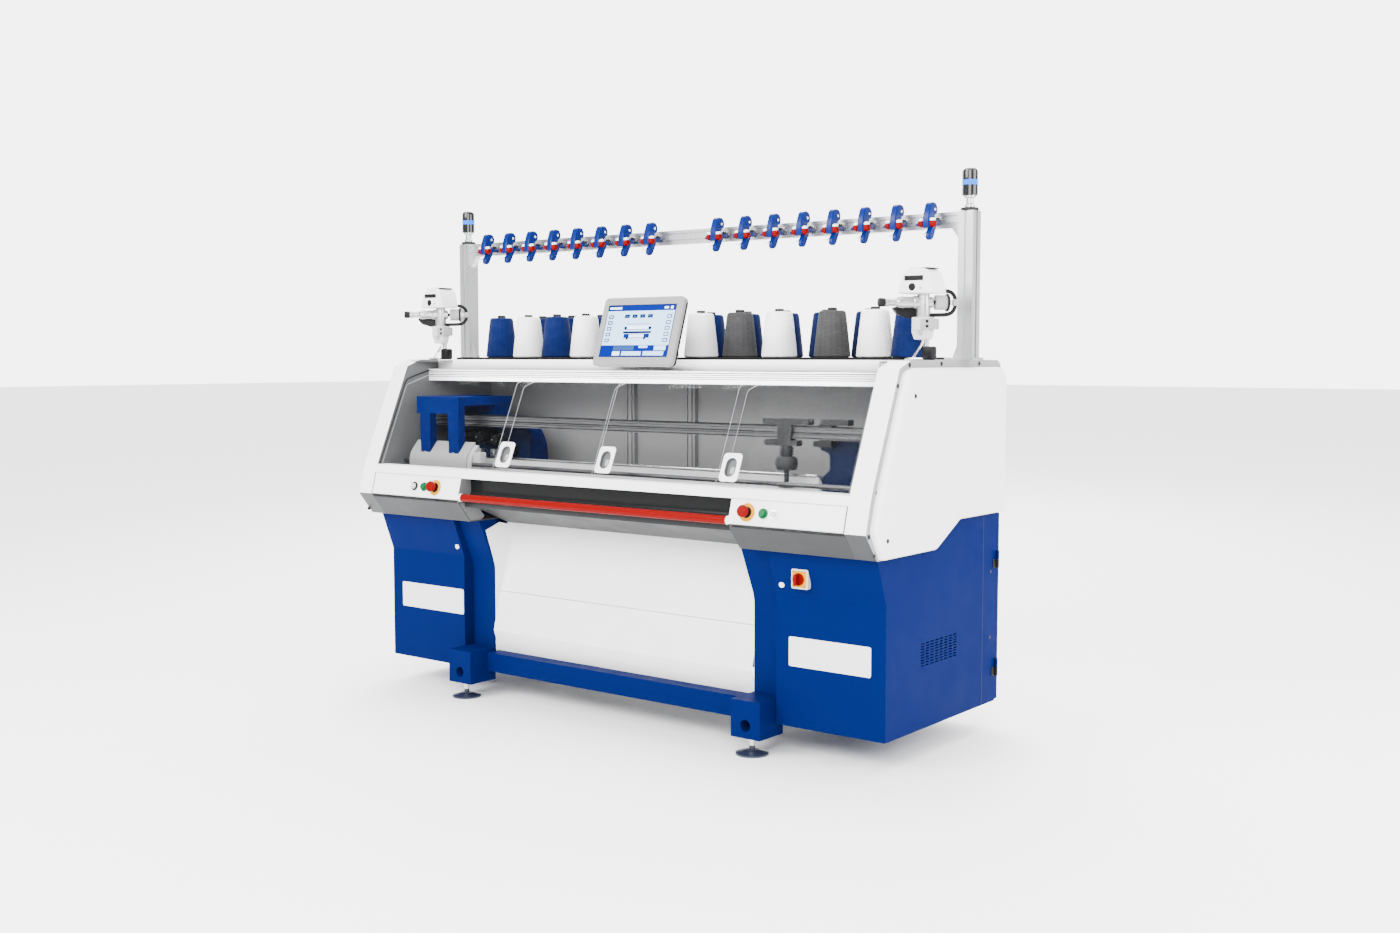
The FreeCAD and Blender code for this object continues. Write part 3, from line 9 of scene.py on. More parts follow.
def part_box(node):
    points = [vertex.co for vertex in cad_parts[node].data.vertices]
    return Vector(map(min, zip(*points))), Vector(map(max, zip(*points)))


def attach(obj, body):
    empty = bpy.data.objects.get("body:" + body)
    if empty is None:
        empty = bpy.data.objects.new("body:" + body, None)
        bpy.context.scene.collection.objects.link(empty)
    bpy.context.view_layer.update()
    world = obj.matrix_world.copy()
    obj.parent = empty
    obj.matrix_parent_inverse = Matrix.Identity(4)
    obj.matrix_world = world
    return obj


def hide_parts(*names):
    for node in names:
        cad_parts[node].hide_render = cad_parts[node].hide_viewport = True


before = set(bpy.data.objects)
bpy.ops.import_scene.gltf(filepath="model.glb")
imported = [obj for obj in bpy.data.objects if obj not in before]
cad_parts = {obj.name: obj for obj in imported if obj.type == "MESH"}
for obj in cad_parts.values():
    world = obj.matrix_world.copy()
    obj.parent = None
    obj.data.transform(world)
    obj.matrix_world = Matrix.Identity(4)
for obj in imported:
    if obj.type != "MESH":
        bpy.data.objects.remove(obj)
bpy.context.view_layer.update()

bl_info = {
    "name": "Flat knitting machine looks",
    "version": (1, 0, 0),
    "blender": (4, 5, 0),
    "location": "View3D > Sidebar > Knitting",
    "description": "Finishes and fittings for a flat knitting machine",
    "category": "Object",
}

# The machine's own axes: X from the middle between the end frames, Y from the cabinets' front
# face towards the back, Z from the floor.
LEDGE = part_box("front_ledge")
MIDDLE_X = (LEDGE[0].x + LEDGE[1].x) / 2
FACE_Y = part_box("cabinet_right")[1].y - 0.742
MM = 0.001

# Measures that several pieces share, in millimetres on those axes.
FRAME_OUTER = 1168     # outer faces of the end frames
FRAME_TOP = 1291
COVER_OUTER = 1194     # outer faces of the side covers
CABINET_OUTER = 1150
OPENING_END = 1088     # ends of the window opening
PANEL_END = 1090       # outer ends of the control panels
RECESS_LEFT = -605     # ends of the recess between the control panels
RECESS_RIGHT = 653
PANEL_FOOT_Y = -155.0  # lower edge of the control panels' face, and how it leans back
PANEL_FOOT_Z = 767.0
PANEL_LEAN = 30.0 / 111.0
CONTROLS_Z = 808.0
BUTTON_X = (-795, 786)
STOP_X = (-735, 722)
INDICATOR_X = (-850, 826)
COLUMN_X = 1178
COLUMN_Y = 459
COLUMN_TOP = 1776
RAIL_FRONT = 446       # front face of the slotted rail
BRAKE_Z = 1745
FEED_UNIT = (1127, 250, 1474)


def at(x, y, z):
    """A place given in millimetres from the machine's own axes."""
    return Vector((x * MM + MIDDLE_X, y * MM + FACE_Y, z * MM))


# ---------------------------------------------------------------- sizes and colours
class MachineSizes(bpy.types.PropertyGroup):
    """Sizes that a user would change"""
    cone_count_sides: IntProperty(
        name="Cone facets", description="Sides of each yarn cone", default=56, min=16, subtype="UNSIGNED")
    thread_pitch: FloatProperty(
        name="Thread pitch", description="Spacing of the wound yarn's crossing threads", default=0.006,
        unit="LENGTH")
    screw_radius: FloatProperty(
        name="Screw radius", description="Radius of the cover screws' heads", default=0.0075, unit="LENGTH")
    bezel_width: FloatProperty(
        name="Bezel width", description="Border round the touch screen's display", default=0.022,
        unit="LENGTH")
    wire_radius: FloatProperty(
        name="Wire radius", description="Radius of the brakes' guide wires", default=0.0013, unit="LENGTH")


def colour_prop(label, text, value):
    return FloatVectorProperty(
        name=label, description=text, subtype="COLOR", size=3, min=0, max=1, default=value)


class MachineColours(bpy.types.PropertyGroup):
    """Colours of the machine's finishes"""
    body: colour_prop("Body white", "Powder coat of the covers", (0.86, 0.86, 0.855))
    side: colour_prop("Frame grey", "Paint of the end frames' flanges", (0.24, 0.243, 0.248))
    # Belly colour: grey paint made darker than it is, as painted shade on faces turned downwards.
    belly: colour_prop("Belly grey", "Paint of the underside", (0.034, 0.035, 0.0365))
    base: colour_prop("Base blue", "Powder coat of the base and castings", (0.0004, 0.0056, 0.064))
    plastic: colour_prop("Brake blue", "Moulded yarn brakes", (0.0005, 0.010, 0.11))
    red: colour_prop("Signal red", "Start bar, knobs and emergency stops", (0.145, 0.0001, 0.0001))
    green: colour_prop("Button green", "Start buttons", (0.002, 0.085, 0.028))
    yellow: colour_prop("Collar yellow", "Emergency-stop collars", (0.58, 0.255, 0.0002))
    yarn: colour_prop("Yarn blue", "Blue yarn cones", (0.0005, 0.0068, 0.060))


def colours():
    return bpy.context.scene.knitting_colours


def sizes():
    return bpy.context.scene.knitting_sizes


def shaded(colour, share):
    return [c * share for c in colour]


# ---------------------------------------------------------------- materials
class Finish:
    """One procedural material and the nodes that shape its colour and relief."""

    def __init__(self, name, colour, rough, metal=0.0, **sockets):
        self.mat = bpy.data.materials.new(name)
        self.mat.use_nodes = True
        self.tree = self.mat.node_tree
        self.shader = self.tree.nodes["Principled BSDF"]
        self.colour = (colour[0], colour[1], colour[2], 1.0)
        self.put("Base Color", self.colour)
        self.put("Roughness", rough)
        self.put("Metallic", metal)
        for key, value in sockets.items():
            self.put(key.replace("_", " "), value)
        self.mat.diffuse_color = self.colour
        self.bump = None

    def put(self, socket, value):
        self.shader.inputs[socket].default_value = value

    def node(self, kind, **settings):
        made_node = self.tree.nodes.new(kind)
        for key, value in settings.items():
            setattr(made_node, key, value)
        return made_node

    def link(self, out, into):
        self.tree.links.new(out, into)

    def coords(self, scale=(1, 1, 1)):
        source = self.node("ShaderNodeTexCoord")
        mapping = self.node("ShaderNodeMapping")
        mapping.inputs["Scale"].default_value = scale
        self.link(source.outputs["Object"], mapping.inputs["Vector"])
        return mapping.outputs["Vector"]

    def axes(self, vector):
        """The X, Y and Z of a vector, each on its own output."""
        split = self.node("ShaderNodeSeparateXYZ")
        self.link(vector, split.inputs[0])
        return split.outputs

    def place(self):
        return self.axes(self.coords())

    def normal(self):
        return self.axes(self.node("ShaderNodeNewGeometry").outputs["Normal"])

    def noise(self, size, stretch=(1, 1, 1), detail=2.0):
        texture = self.node("ShaderNodeTexNoise")
        texture.inputs["Scale"].default_value = size
        texture.inputs["Detail"].default_value = detail
        self.link(self.coords(stretch), texture.inputs["Vector"])
        return texture.outputs["Fac"]

    def math(self, operation, *values):
        step = self.node("ShaderNodeMath", operation=operation)
        for i, value in enumerate(values):
            if isinstance(value, (int, float)):
                step.inputs[i].default_value = value
            else:
                self.link(value, step.inputs[i])
        return step.outputs[0]

    def beyond(self, value, limit):
        """One where the size of value is more than limit, else zero."""
        return self.math("GREATER_THAN", self.math("ABSOLUTE", value), limit)

    def waves(self, value, pitch):
        return self.math("SINE", self.math("MULTIPLY", value, 2 * math.pi / pitch))

    def span(self, value, low, high, to_low, to_high):
        step = self.node("ShaderNodeMapRange")
        for i, number in enumerate((low, high, to_low, to_high)):
            step.inputs[i + 1].default_value = number
        self.link(value, step.inputs[0])
        return step.outputs[0]

    def relief(self, value, strength, depth):
        """Adds one layer of surface relief."""
        bump = self.node("ShaderNodeBump")
        bump.inputs["Strength"].default_value = strength
        bump.inputs["Distance"].default_value = depth
        self.link(value, bump.inputs["Height"])
        if self.bump:
            self.link(self.bump.outputs["Normal"], bump.inputs["Normal"])
        self.bump = bump
        self.link(bump.outputs["Normal"], self.shader.inputs["Normal"])

    def blend(self, value, other):
        """Mixes the base colour towards another one where value is 1."""
        mix = self.node("ShaderNodeMix", data_type="RGBA")
        self.link(value, mix.inputs["Factor"])
        current = self.shader.inputs["Base Color"]
        if current.is_linked:
            self.link(current.links[0].from_socket, mix.inputs[6])
        else:
            mix.inputs[6].default_value = self.colour
        mix.inputs[7].default_value = (other[0], other[1], other[2], 1.0)
        self.link(mix.outputs[2], current)

    def roughness(self, value, low, high):
        self.link(self.span(value, 0.25, 0.75, low, high), self.shader.inputs["Roughness"])


def powder_coat(name, colour, rough=0.42, gloss=0.35):
    coat = Finish(name, colour, rough, Specular_IOR_Level=gloss)
    coat.blend(coat.span(coat.noise(3.5, detail=3), 0.35, 0.75, 0.0, 0.35), shaded(colour, 0.90))
    coat.relief(coat.noise(620, detail=1), 0.10, 0.0004)
    coat.roughness(coat.noise(9), rough - 0.05, rough + 0.08)
    return coat


def moulded(name, colour, rough=0.38, grain=900, gloss=0.12, **sockets):
    plastic = Finish(name, colour, rough, Specular_IOR_Level=gloss, **sockets)
    plastic.blend(plastic.span(plastic.noise(40), 0.4, 0.8, 0.0, 0.4), shaded(colour, 0.82))
    plastic.relief(plastic.noise(grain, detail=1), 0.12, 0.0003)
    return plastic


def drawn_metal(name, colour, rough, stretch):
    """Metal with fine lines along the direction that stretch leaves small."""
    metal = Finish(name, colour, rough, 1.0)
    lines = metal.noise(900, stretch, detail=2)
    metal.relief(lines, 0.10, 0.0002)
    metal.roughness(lines, rough - 0.07, rough + 0.10)
    metal.blend(metal.span(metal.noise(60, stretch), 0.35, 0.8, 0.0, 0.3), shaded(colour, 0.8))
    return metal


def two_tone_frame(name):
    """White towards the operator, grey on the flanges, darker inside, and a dark grey underneath that is
    partly paint and partly painted shade.
    """
    coat = powder_coat(name, colours().body)
    normal = coat.normal()
    coat.blend(coat.math("GREATER_THAN", normal["Y"], -0.28), colours().side)
    # Faces turned downwards get the belly colour: grey paint darkened as painted shade.
    coat.blend(coat.math("LESS_THAN", normal["Z"], -0.2), colours().belly)
    offset = coat.math("ABSOLUTE", coat.math("SUBTRACT", coat.place()["X"], MIDDLE_X))
    inside = coat.math("LESS_THAN", offset, 1.15)
    coat.blend(coat.math("MULTIPLY", inside, coat.beyond(normal["X"], 0.5)), (0.085, 0.086, 0.088))
    return coat


def panel_paint(name):
    """White front with grey ends beside the recess."""
    coat = powder_coat(name, colours().body, gloss=0.45)
    coat.blend(coat.beyond(coat.normal()["X"], 0.5), (0.13, 0.131, 0.133))
    return coat


def rail_paint(name):
    """White front with grey upward ledges under the shelf."""
    coat = powder_coat(name, colours().body, gloss=0.45)
    coat.blend(coat.math("GREATER_THAN", coat.normal()["Z"], 0.7), (0.09, 0.091, 0.093))
    return coat


def clear_pane(name):
    """Nearly clear sheet whose cut edges carry a painted highlight."""
    pane = Finish(name, (0.05, 0.055, 0.06), 0.04, Alpha=0.02, IOR=1.45)
    pane.relief(pane.noise(3, detail=0), 0.05, 0.002)
    # The pane's cut edges, facing along X, get a painted highlight: a light colour and less see-through.
    painted_edge_highlight = pane.beyond(pane.normal()["X"], 0.8)
    pane.blend(painted_edge_highlight, (0.85, 0.87, 0.88))
    pane.link(pane.span(painted_edge_highlight, 0.0, 1.0, 0.02, 0.38), pane.shader.inputs["Alpha"])
    return pane


def grooved_rail(name):
    """Drawn aluminium with grooves that part it into slim tracks, the grooves darkened with painted shade.
    """
    rail = drawn_metal(name, (0.12, 0.121, 0.123), 0.34, (0.015, 1, 1))
    low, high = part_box("feeder_rails")
    share = rail.math("DIVIDE", rail.math("SUBTRACT", rail.place()["Z"], low.z), high.z - low.z)
    for place, half in ((0.10, 0.05), (0.36, 0.035), (0.52, 0.06), (0.80, 0.03), (0.96, 0.03)):
        away = rail.math("ABSOLUTE", rail.math("SUBTRACT", share, place))
        groove_with_painted_shade = rail.math("LESS_THAN", away, half)
        # Painted shade darkens each groove; the bump gives it depth.
        rail.blend(groove_with_painted_shade, (0.012, 0.012, 0.013))
        rail.relief(groove_with_painted_shade, 0.3, -0.001)
    return rail


def foot_steel(name):
    """Ground steel stems on dark rubber-coated pads."""
    steel = drawn_metal(name, (0.62, 0.63, 0.64), 0.30, (1, 1, 0.05))
    stem = steel.math("GREATER_THAN", steel.place()["Z"], 0.030)
    steel.blend(steel.math("SUBTRACT", 1.0, stem), (0.010, 0.014, 0.03))
    steel.link(stem, steel.shader.inputs["Metallic"])
    return steel


def ribbed_rubber(name):
    rubber = Finish(name, (0.004, 0.004, 0.0042), 0.62, Specular_IOR_Level=0.05)
    rubber.relief(rubber.waves(rubber.place()["Y"], 0.006), 0.6, 0.0008)
    rubber.blend(rubber.noise(300), (0.008, 0.008, 0.0082))
    return rubber


def needle_steel(name):
    """Ground steel with the fine slots of a needle bed across it, striped darker along them with painted
    shade.
    """
    steel = drawn_metal(name, (0.86, 0.86, 0.86), 0.42, (0.02, 1, 1))
    steel.put("Metallic", 0.45)
    slots_with_painted_shade = steel.waves(steel.place()["X"], 0.0045)
    steel.relief(slots_with_painted_shade, 0.8, 0.001)
    # Painted shade: darker stripes along the slots.
    steel.blend(steel.span(slots_with_painted_shade, -0.2, 1.0, 0.0, 0.55), (0.36, 0.365, 0.37))
    return steel


def wound_yarn(name, colour, shade=0.55):
    """Crossing threads that run round a cone on its own axis, with painted shade between them."""
    yarn = Finish(name, colour, 0.85, Sheen_Weight=0.04, Sheen_Roughness=0.5, Specular_IOR_Level=0.1)
    place = yarn.place()
    turn = yarn.math("ARCTAN2", place["Y"], place["X"])
    rise = yarn.math("MULTIPLY", place["Z"], 2 * math.pi / sizes().thread_pitch)
    lean = yarn.math("MULTIPLY", turn, 9.0)
    one = yarn.math("SINE", yarn.math("ADD", rise, lean))
    two = yarn.math("SINE", yarn.math("SUBTRACT", rise, lean))
    weave = yarn.math("MAXIMUM", one, two)
    fuzz = yarn.math("ADD", weave, yarn.noise(1400, (1, 1, 0.3)))
    yarn.relief(fuzz, 0.45, 0.0012)
    # Painted shade: darker where the weave dips between the crossing threads.
    yarn.blend(yarn.span(weave, -0.4, 0.9, 0.55, 0.0), shaded(colour, shade))
    lighter = [min(1, c * 1.25 + 0.01) for c in colour]
    yarn.blend(yarn.span(yarn.noise(25), 0.45, 0.8, 0.0, 0.3), lighter)
    return yarn


def glow(name, colour, power):
    lit = Finish(name, colour, 0.30, Emission_Strength=power, Specular_IOR_Level=0.04)
    lit.put("Emission Color", (colour[0], colour[1], colour[2], 1))
    lit.relief(lit.noise(700), 0.02, 0.0001)
    return lit


# Each finish: its maker, its colour or the name of the colour property, and the maker's other values.
RECIPES = {
    "body_white": (powder_coat, "body", 0.42, 0.45),
    "frame_paint": (two_tone_frame,),
    "panel_paint": (panel_paint,),
    "rail_paint": (rail_paint,),
    "panel_grey": (powder_coat, (0.13, 0.131, 0.133), 0.45, 0.2),
    "cover_grey": (powder_coat, (0.23, 0.23, 0.232), 0.38, 0.3),
    # Underside grey, partly paint and partly painted shade.
    "belly_grey": (powder_coat, "belly", 0.48, 0.2),
    "wall_grey": (powder_coat, (0.165, 0.165, 0.167), 0.5, 0.1),
    "base_blue": (powder_coat, "base", 0.42, 0.015),
    "casting_blue": (powder_coat, (0.0012, 0.0042, 0.024), 0.40, 0.02),
    "navy_casting": (powder_coat, (0.002, 0.005, 0.022), 0.34, 0.08),
    "trough_dark": (powder_coat, (0.010, 0.0105, 0.011), 0.18, 0.10),
    "anodised_tall": (drawn_metal, (0.52, 0.525, 0.53), 0.38, (1, 1, 0.015)),
    "ground_steel": (drawn_metal, (0.52, 0.53, 0.54), 0.34, (1, 1, 0.05)),
    "guide_steel": (drawn_metal, (0.10, 0.10, 0.105), 0.42, (0.02, 1, 1)),
    "cast_metal": (drawn_metal, (0.42, 0.42, 0.425), 0.34, (1, 1, 1)),
    "bezel_silver": (powder_coat, (0.23, 0.23, 0.228), 0.34, 0.15),
    "bright_steel": (drawn_metal, (0.78, 0.79, 0.80), 0.14, (0.02, 1, 1)),
    "needle_steel": (needle_steel,),
    "grooved_rail": (grooved_rail,),
    "foot_steel": (foot_steel,),
    "window_pane": (clear_pane,),
    "black_plastic": (moulded, (0.006, 0.006, 0.0065), 0.40),
    "charcoal_plastic": (moulded, (0.018, 0.0185, 0.020), 0.45),
    "brake_blue": (moulded, "plastic", 0.28, 500, 0.16),
    "signal_red": (moulded, "red", 0.30, 500, 0.05),
    "button_green": (moulded, "green", 0.24),
    "collar_yellow": (moulded, "yellow", 0.35, 900, 0.02),
    "white_plastic": (moulded, (0.84, 0.84, 0.83), 0.36),
    "light_grey_plastic": (moulded, (0.52, 0.52, 0.515), 0.36),
    "mid_grey_plastic": (moulded, (0.30, 0.30, 0.305), 0.40),
    "lamp_dark": (moulded, (0.010, 0.010, 0.011), 0.16, dict(Coat_Weight=0.6, Coat_Roughness=0.08)),
    "lamp_blue": (glow, (0.004, 0.12, 0.62), 0.5),
    # Dark grey that stands for painted shade inside the window pulls' finger recess.
    "recess_grey": (moulded, (0.10, 0.102, 0.105), 0.34),
    "clear_lens": (moulded, (0.72, 0.74, 0.74), 0.10, dict(Transmission_Weight=0.3)),
    "shelf_rubber": (ribbed_rubber,),
    "soft_rubber": (moulded, (0.022, 0.022, 0.023), 0.68, 300),
    "blank_plate": (powder_coat, (0.74, 0.745, 0.75), 0.30),
    "yarn_blue": (wound_yarn, "yarn"),
    "yarn_white": (wound_yarn, (0.97, 0.97, 0.96), 0.90),
    "yarn_grey": (wound_yarn, (0.042, 0.042, 0.043)),
    "yarn_charcoal": (wound_yarn, (0.040, 0.040, 0.0415)),
    "screen_pale": (glow, (0.34, 0.50, 0.74), 0.9),
    "screen_blue": (glow, (0.0004, 0.008, 0.13), 0.35),
    "screen_navy": (glow, (0.001, 0.005, 0.045), 0.2),
    "screen_white": (glow, (0.62, 0.72, 0.90), 0.6),
    "screen_steel": (glow, (0.02, 0.055, 0.16), 0.3),
}
made = {}


def finish(name):
    """The material of that name, made at its first use."""
    if name not in made:
        maker, *values = RECIPES[name]
        sockets = values.pop() if values and isinstance(values[-1], dict) else {}
        if values and isinstance(values[0], str):
            values[0] = getattr(colours(), values[0])
        made[name] = maker(name, *values, **sockets).mat
    return made[name]


NODE_FINISHES = {
    "body_white": "chute_panels side_cover_left side_cover_right front_ledge top_shelf rear_cover",
    "rail_paint": "shelf_rail",
    "panel_paint": "control_panel_left control_panel_right",
    "frame_paint": "end_frame_left end_frame_right",
    "belly_grey": "belly_panel",
    "wall_grey": "inner_wall",
    "base_blue": "cabinet_left cabinet_right rear_door_left rear_door_right base_frame carriage_bow",
    "casting_blue": "end_casting",
    "trough_dark": "recess_panel",
    "grooved_rail": "feeder_rails",
    "anodised_tall": "creel_frame",
    "foot_steel": "levelling_feet",
    "ground_steel": "drive_pulley_left drive_pulley_right",
    "guide_steel": "carriage_guides",
    "needle_steel": "needle_bed_front needle_bed_rear",
    "window_pane": "window_fixed window_2 window_3 window_4",
    "black_plastic": "door_hinges screen_arm",
    "charcoal_plastic": "yarn_carrier_1 yarn_carrier_2",
    "signal_red": "start_bar estop_left estop_right main_switch_knob",
    "button_green": "green_button_left green_button_right",
    "shelf_rubber": "shelf_mat",
    "soft_rubber": "takedown_roller press_roller drive_belt",
}


# ---------------------------------------------------------------- mesh building
class Piece:
    """One object, gathered from bevelled blocks, turned shapes, plates and wires."""

    def __init__(self, name, body):
        self.name = name
        self.body = body
        self.finishes = []
        self.mesh = bmesh.new()
        self.place = Matrix.Identity(4)

    def take(self, part, finish_name):
        """Moves a scratch mesh into the piece with one of its finishes."""
        if finish_name not in self.finishes:
            self.finishes.append(finish_name)
        index = self.finishes.index(finish_name)
        bmesh.ops.transform(part, matrix=self.place, verts=part.verts)
        for face in part.faces:
            face.material_index = index
            face.smooth = True
        scratch = bpy.data.meshes.new("scratch")
        part.to_mesh(scratch)
        part.free()
        self.mesh.from_mesh(scratch)
        bpy.data.meshes.remove(scratch)
        return self

    def rounded_off(self, part, bevel, steps=2):
        if bevel <= 0:
            return
        sharp = [e for e in part.edges
                 if len(e.link_faces) == 2 and e.calc_face_angle(0) > math.radians(34)]
        bmesh.ops.bevel(part, geom=sharp, offset=bevel, segments=steps, profile=0.5, affect="EDGES",
                        clamp_overlap=True)

    def block(self, low, high, finish_name, bevel=0.0015):
        part = bmesh.new()
        bmesh.ops.create_cube(part, size=1.0)
        size = Vector(high) - Vector(low)
        centre = (Vector(high) + Vector(low)) / 2
        for v in part.verts:
            v.co = Vector((v.co.x * size.x, v.co.y * size.y, v.co.z * size.z)) + centre
        self.rounded_off(part, min(bevel, min(size) * 0.45))
        return self.take(part, finish_name)

    def turned(self, start, direction, profile, finish_name, sides=32):
        """A shape turned about a line; profile holds (distance along it, radius)."""
        part = bmesh.new()
        along = Vector(direction).normalized()
        across = along.orthogonal().normalized()
        other = along.cross(across)
        rings = []
        for distance, radius in profile:
            ring = []
            for i in range(sides):
                angle = 2 * math.pi * i / sides
                spoke = across * math.cos(angle) + other * math.sin(angle)
                ring.append(part.verts.new(Vector(start) + along * distance + spoke * max(radius, 1e-5)))
            rings.append(ring)
        for lower, upper in zip(rings, rings[1:]):
            for i in range(sides):
                part.faces.new((lower[i], lower[(i + 1) % sides], upper[(i + 1) % sides], upper[i]))
        part.faces.new(list(reversed(rings[0])))
        part.faces.new(rings[-1])
        bmesh.ops.recalc_face_normals(part, faces=part.faces)
        return self.take(part, finish_name)

    def plate(self, outline, origin, across, up, thickness, finish_name, bevel=0.001):
        """An outline drawn on two directions from an origin, thickened along their cross product."""
        part = bmesh.new()
        a = Vector(across).normalized()
        b = Vector(up).normalized()
        n = a.cross(b)
        base = [part.verts.new(Vector(origin) + a * p[0] + b * p[1]) for p in outline]
        face = part.faces.new(base)
        grown = bmesh.ops.extrude_face_region(part, geom=[face])
        moved = [g for g in grown["geom"] if isinstance(g, bmesh.types.BMVert)]
        bmesh.ops.translate(part, verts=moved, vec=n * thickness)
        bmesh.ops.recalc_face_normals(part, faces=part.faces)
        self.rounded_off(part, bevel, 1)
        return self.take(part, finish_name)

    def collar(self, outer, inner, origin, across, up, thickness, finish_name, bevel=0.001):
        """A flat ring between two outlines with the same number of points."""
        part = bmesh.new()
        a = Vector(across).normalized()
        b = Vector(up).normalized()
        lift = a.cross(b) * thickness
        rings = []
        for outline, offset in ((outer, 0), (outer, 1), (inner, 1), (inner, 0)):
            corner = Vector(origin) + lift * offset
            rings.append([part.verts.new(corner + a * p[0] + b * p[1]) for p in outline])
        count = len(outer)
        for k in range(4):
            low, high = rings[k], rings[(k + 1) % 4]
            for i in range(count):
                part.faces.new((low[i], low[(i + 1) % count], high[(i + 1) % count], high[i]))
        bmesh.ops.recalc_face_normals(part, faces=part.faces)
        self.rounded_off(part, bevel, 2)
        return self.take(part, finish_name)

    def wire(self, points, radius, finish_name, sides=10):
        curve = bpy.data.curves.new("scratch_wire", "CURVE")
        curve.dimensions = "3D"
        curve.bevel_depth = radius
        curve.bevel_resolution = max(1, sides // 4)
        curve.use_fill_caps = True
        spline = curve.splines.new("NURBS")
        spline.points.add(len(points) - 1)
        for spot, p in zip(spline.points, points):
            spot.co = (p[0], p[1], p[2], 1)
        spline.order_u = 3
        spline.use_endpoint_u = True
        holder = bpy.data.objects.new("scratch_wire", curve)
        mesh = bpy.data.meshes.new_from_object(holder)
        part = bmesh.new()
        part.from_mesh(mesh)
        bpy.data.objects.remove(holder)
        bpy.data.curves.remove(curve)
        bpy.data.meshes.remove(mesh)
        return self.take(part, finish_name)

    def done(self, *replaced, slot=None, smooth_angle=32):
        mesh = bpy.data.meshes.new(self.name)
        self.mesh.to_mesh(mesh)
        self.mesh.free()
        for name in self.finishes:
            mesh.materials.append(finish(name))
        mesh.set_sharp_from_angle(angle=math.radians(smooth_angle))
        obj = bpy.data.objects.new(self.name, mesh)
        bpy.context.scene.collection.objects.link(obj)
        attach(obj, self.body)
        if replaced:
            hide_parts(*replaced)
        return obj


def rounded_outline(width, height, radius, steps=6):
    points = []
    for cx, cy, begin in ((1, 1, 0), (-1, 1, 90), (-1, -1, 180), (1, -1, 270)):
        for i in range(steps + 1):
            angle = math.radians(begin + 90 * i / steps)
            points.append((cx * (width / 2 - radius) + radius * math.cos(angle),
                           cy * (height / 2 - radius) + radius * math.sin(angle)))
    return points


def smooth_outline(points, rounds, steps=5):
    """Outline corners turned into short arcs, each with its own rounding distance."""
    made_points = []
    count = len(points)
    for i, here in enumerate(points):
        p = Vector(here)
        before = Vector(points[i - 1])
        after = Vector(points[(i + 1) % count])
        reach = min(rounds[i], (before - p).length * 0.48, (after - p).length * 0.48)
        if reach <= 0:
            made_points.append(here)
            continue
        a = p + (before - p).normalized() * reach
        c = p + (after - p).normalized() * reach
        for k in range(steps + 1):
            t = k / steps
            q = a * (1 - t) ** 2 + p * 2 * t * (1 - t) + c * t ** 2
            made_points.append((q.x, q.y))
    return made_points


def mm(points):
    return [(p[0] * MM, p[1] * MM) for p in points]


# ---------------------------------------------------------------- operators
class KNIT_OT_finishes(bpy.types.Operator):
    """Give every machine part its finish"""
    bl_idname = "knit.finishes"
    bl_label = "Part finishes"

    def execute(self, context):
        for name, nodes in NODE_FINISHES.items():
            for node in nodes.split():
                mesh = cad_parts[node].data
                mesh.materials.clear()
                mesh.materials.append(finish(name))
        return {"FINISHED"}


CONE_FRONT = (
    (-925, "blue"), (-770, "white"), (-612, "blue"), (-457, "white"), (-300, "blue"), (-142, "white"),
    (115, "white"), (293, "charcoal"), (466, "white"), (688, "grey"), (860, "white"), (995, "blue"))
CONE_BACK = (-845, -680, -520, -360, -200, 40, 210, 385, 560, 740, 900)


class KNIT_OT_yarn_cones(bpy.types.Operator):
    """Wound yarn cones on their paper cores"""
    bl_idname = "knit.yarn_cones"
    bl_label = "Yarn cones"

    def cone(self, x, y, shade, index):
        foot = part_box("yarn_cones")[0].z
        piece = Piece("yarn_cone_%02d" % index, "machine")
        body = [(0, 0.056), (0.001, 0.061), (0.004, 0.0635), (0.012, 0.0632), (0.05, 0.0592), (0.1, 0.0535),
                (0.150, 0.0474), (0.1565, 0.0455), (0.1605, 0.040), (0.1615, 0.0185)]
        piece.turned((0, 0, 0), (0, 0, 1), body, "yarn_" + shade, sizes().cone_count_sides)
        core = [(0.150, 0.0165), (0.1696, 0.0162), (0.1708, 0.0152), (0.1708, 0.0135), (0.155, 0.0135)]
        piece.turned((0, 0, 0), (0, 0, 1), core, "charcoal_plastic", 32)
        obj = piece.done(slot="yarn")
        obj.location = at(x, y, 0) + Vector((0, 0, foot))
        return obj

    def execute(self, context):
        for i, (x, shade) in enumerate(CONE_FRONT):
            self.cone(x, 400, shade, i)
        for i, x in enumerate(CONE_BACK):
            self.cone(x, 560, "blue", i + len(CONE_FRONT))
        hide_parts("yarn_cones")
        return {"FINISHED"}


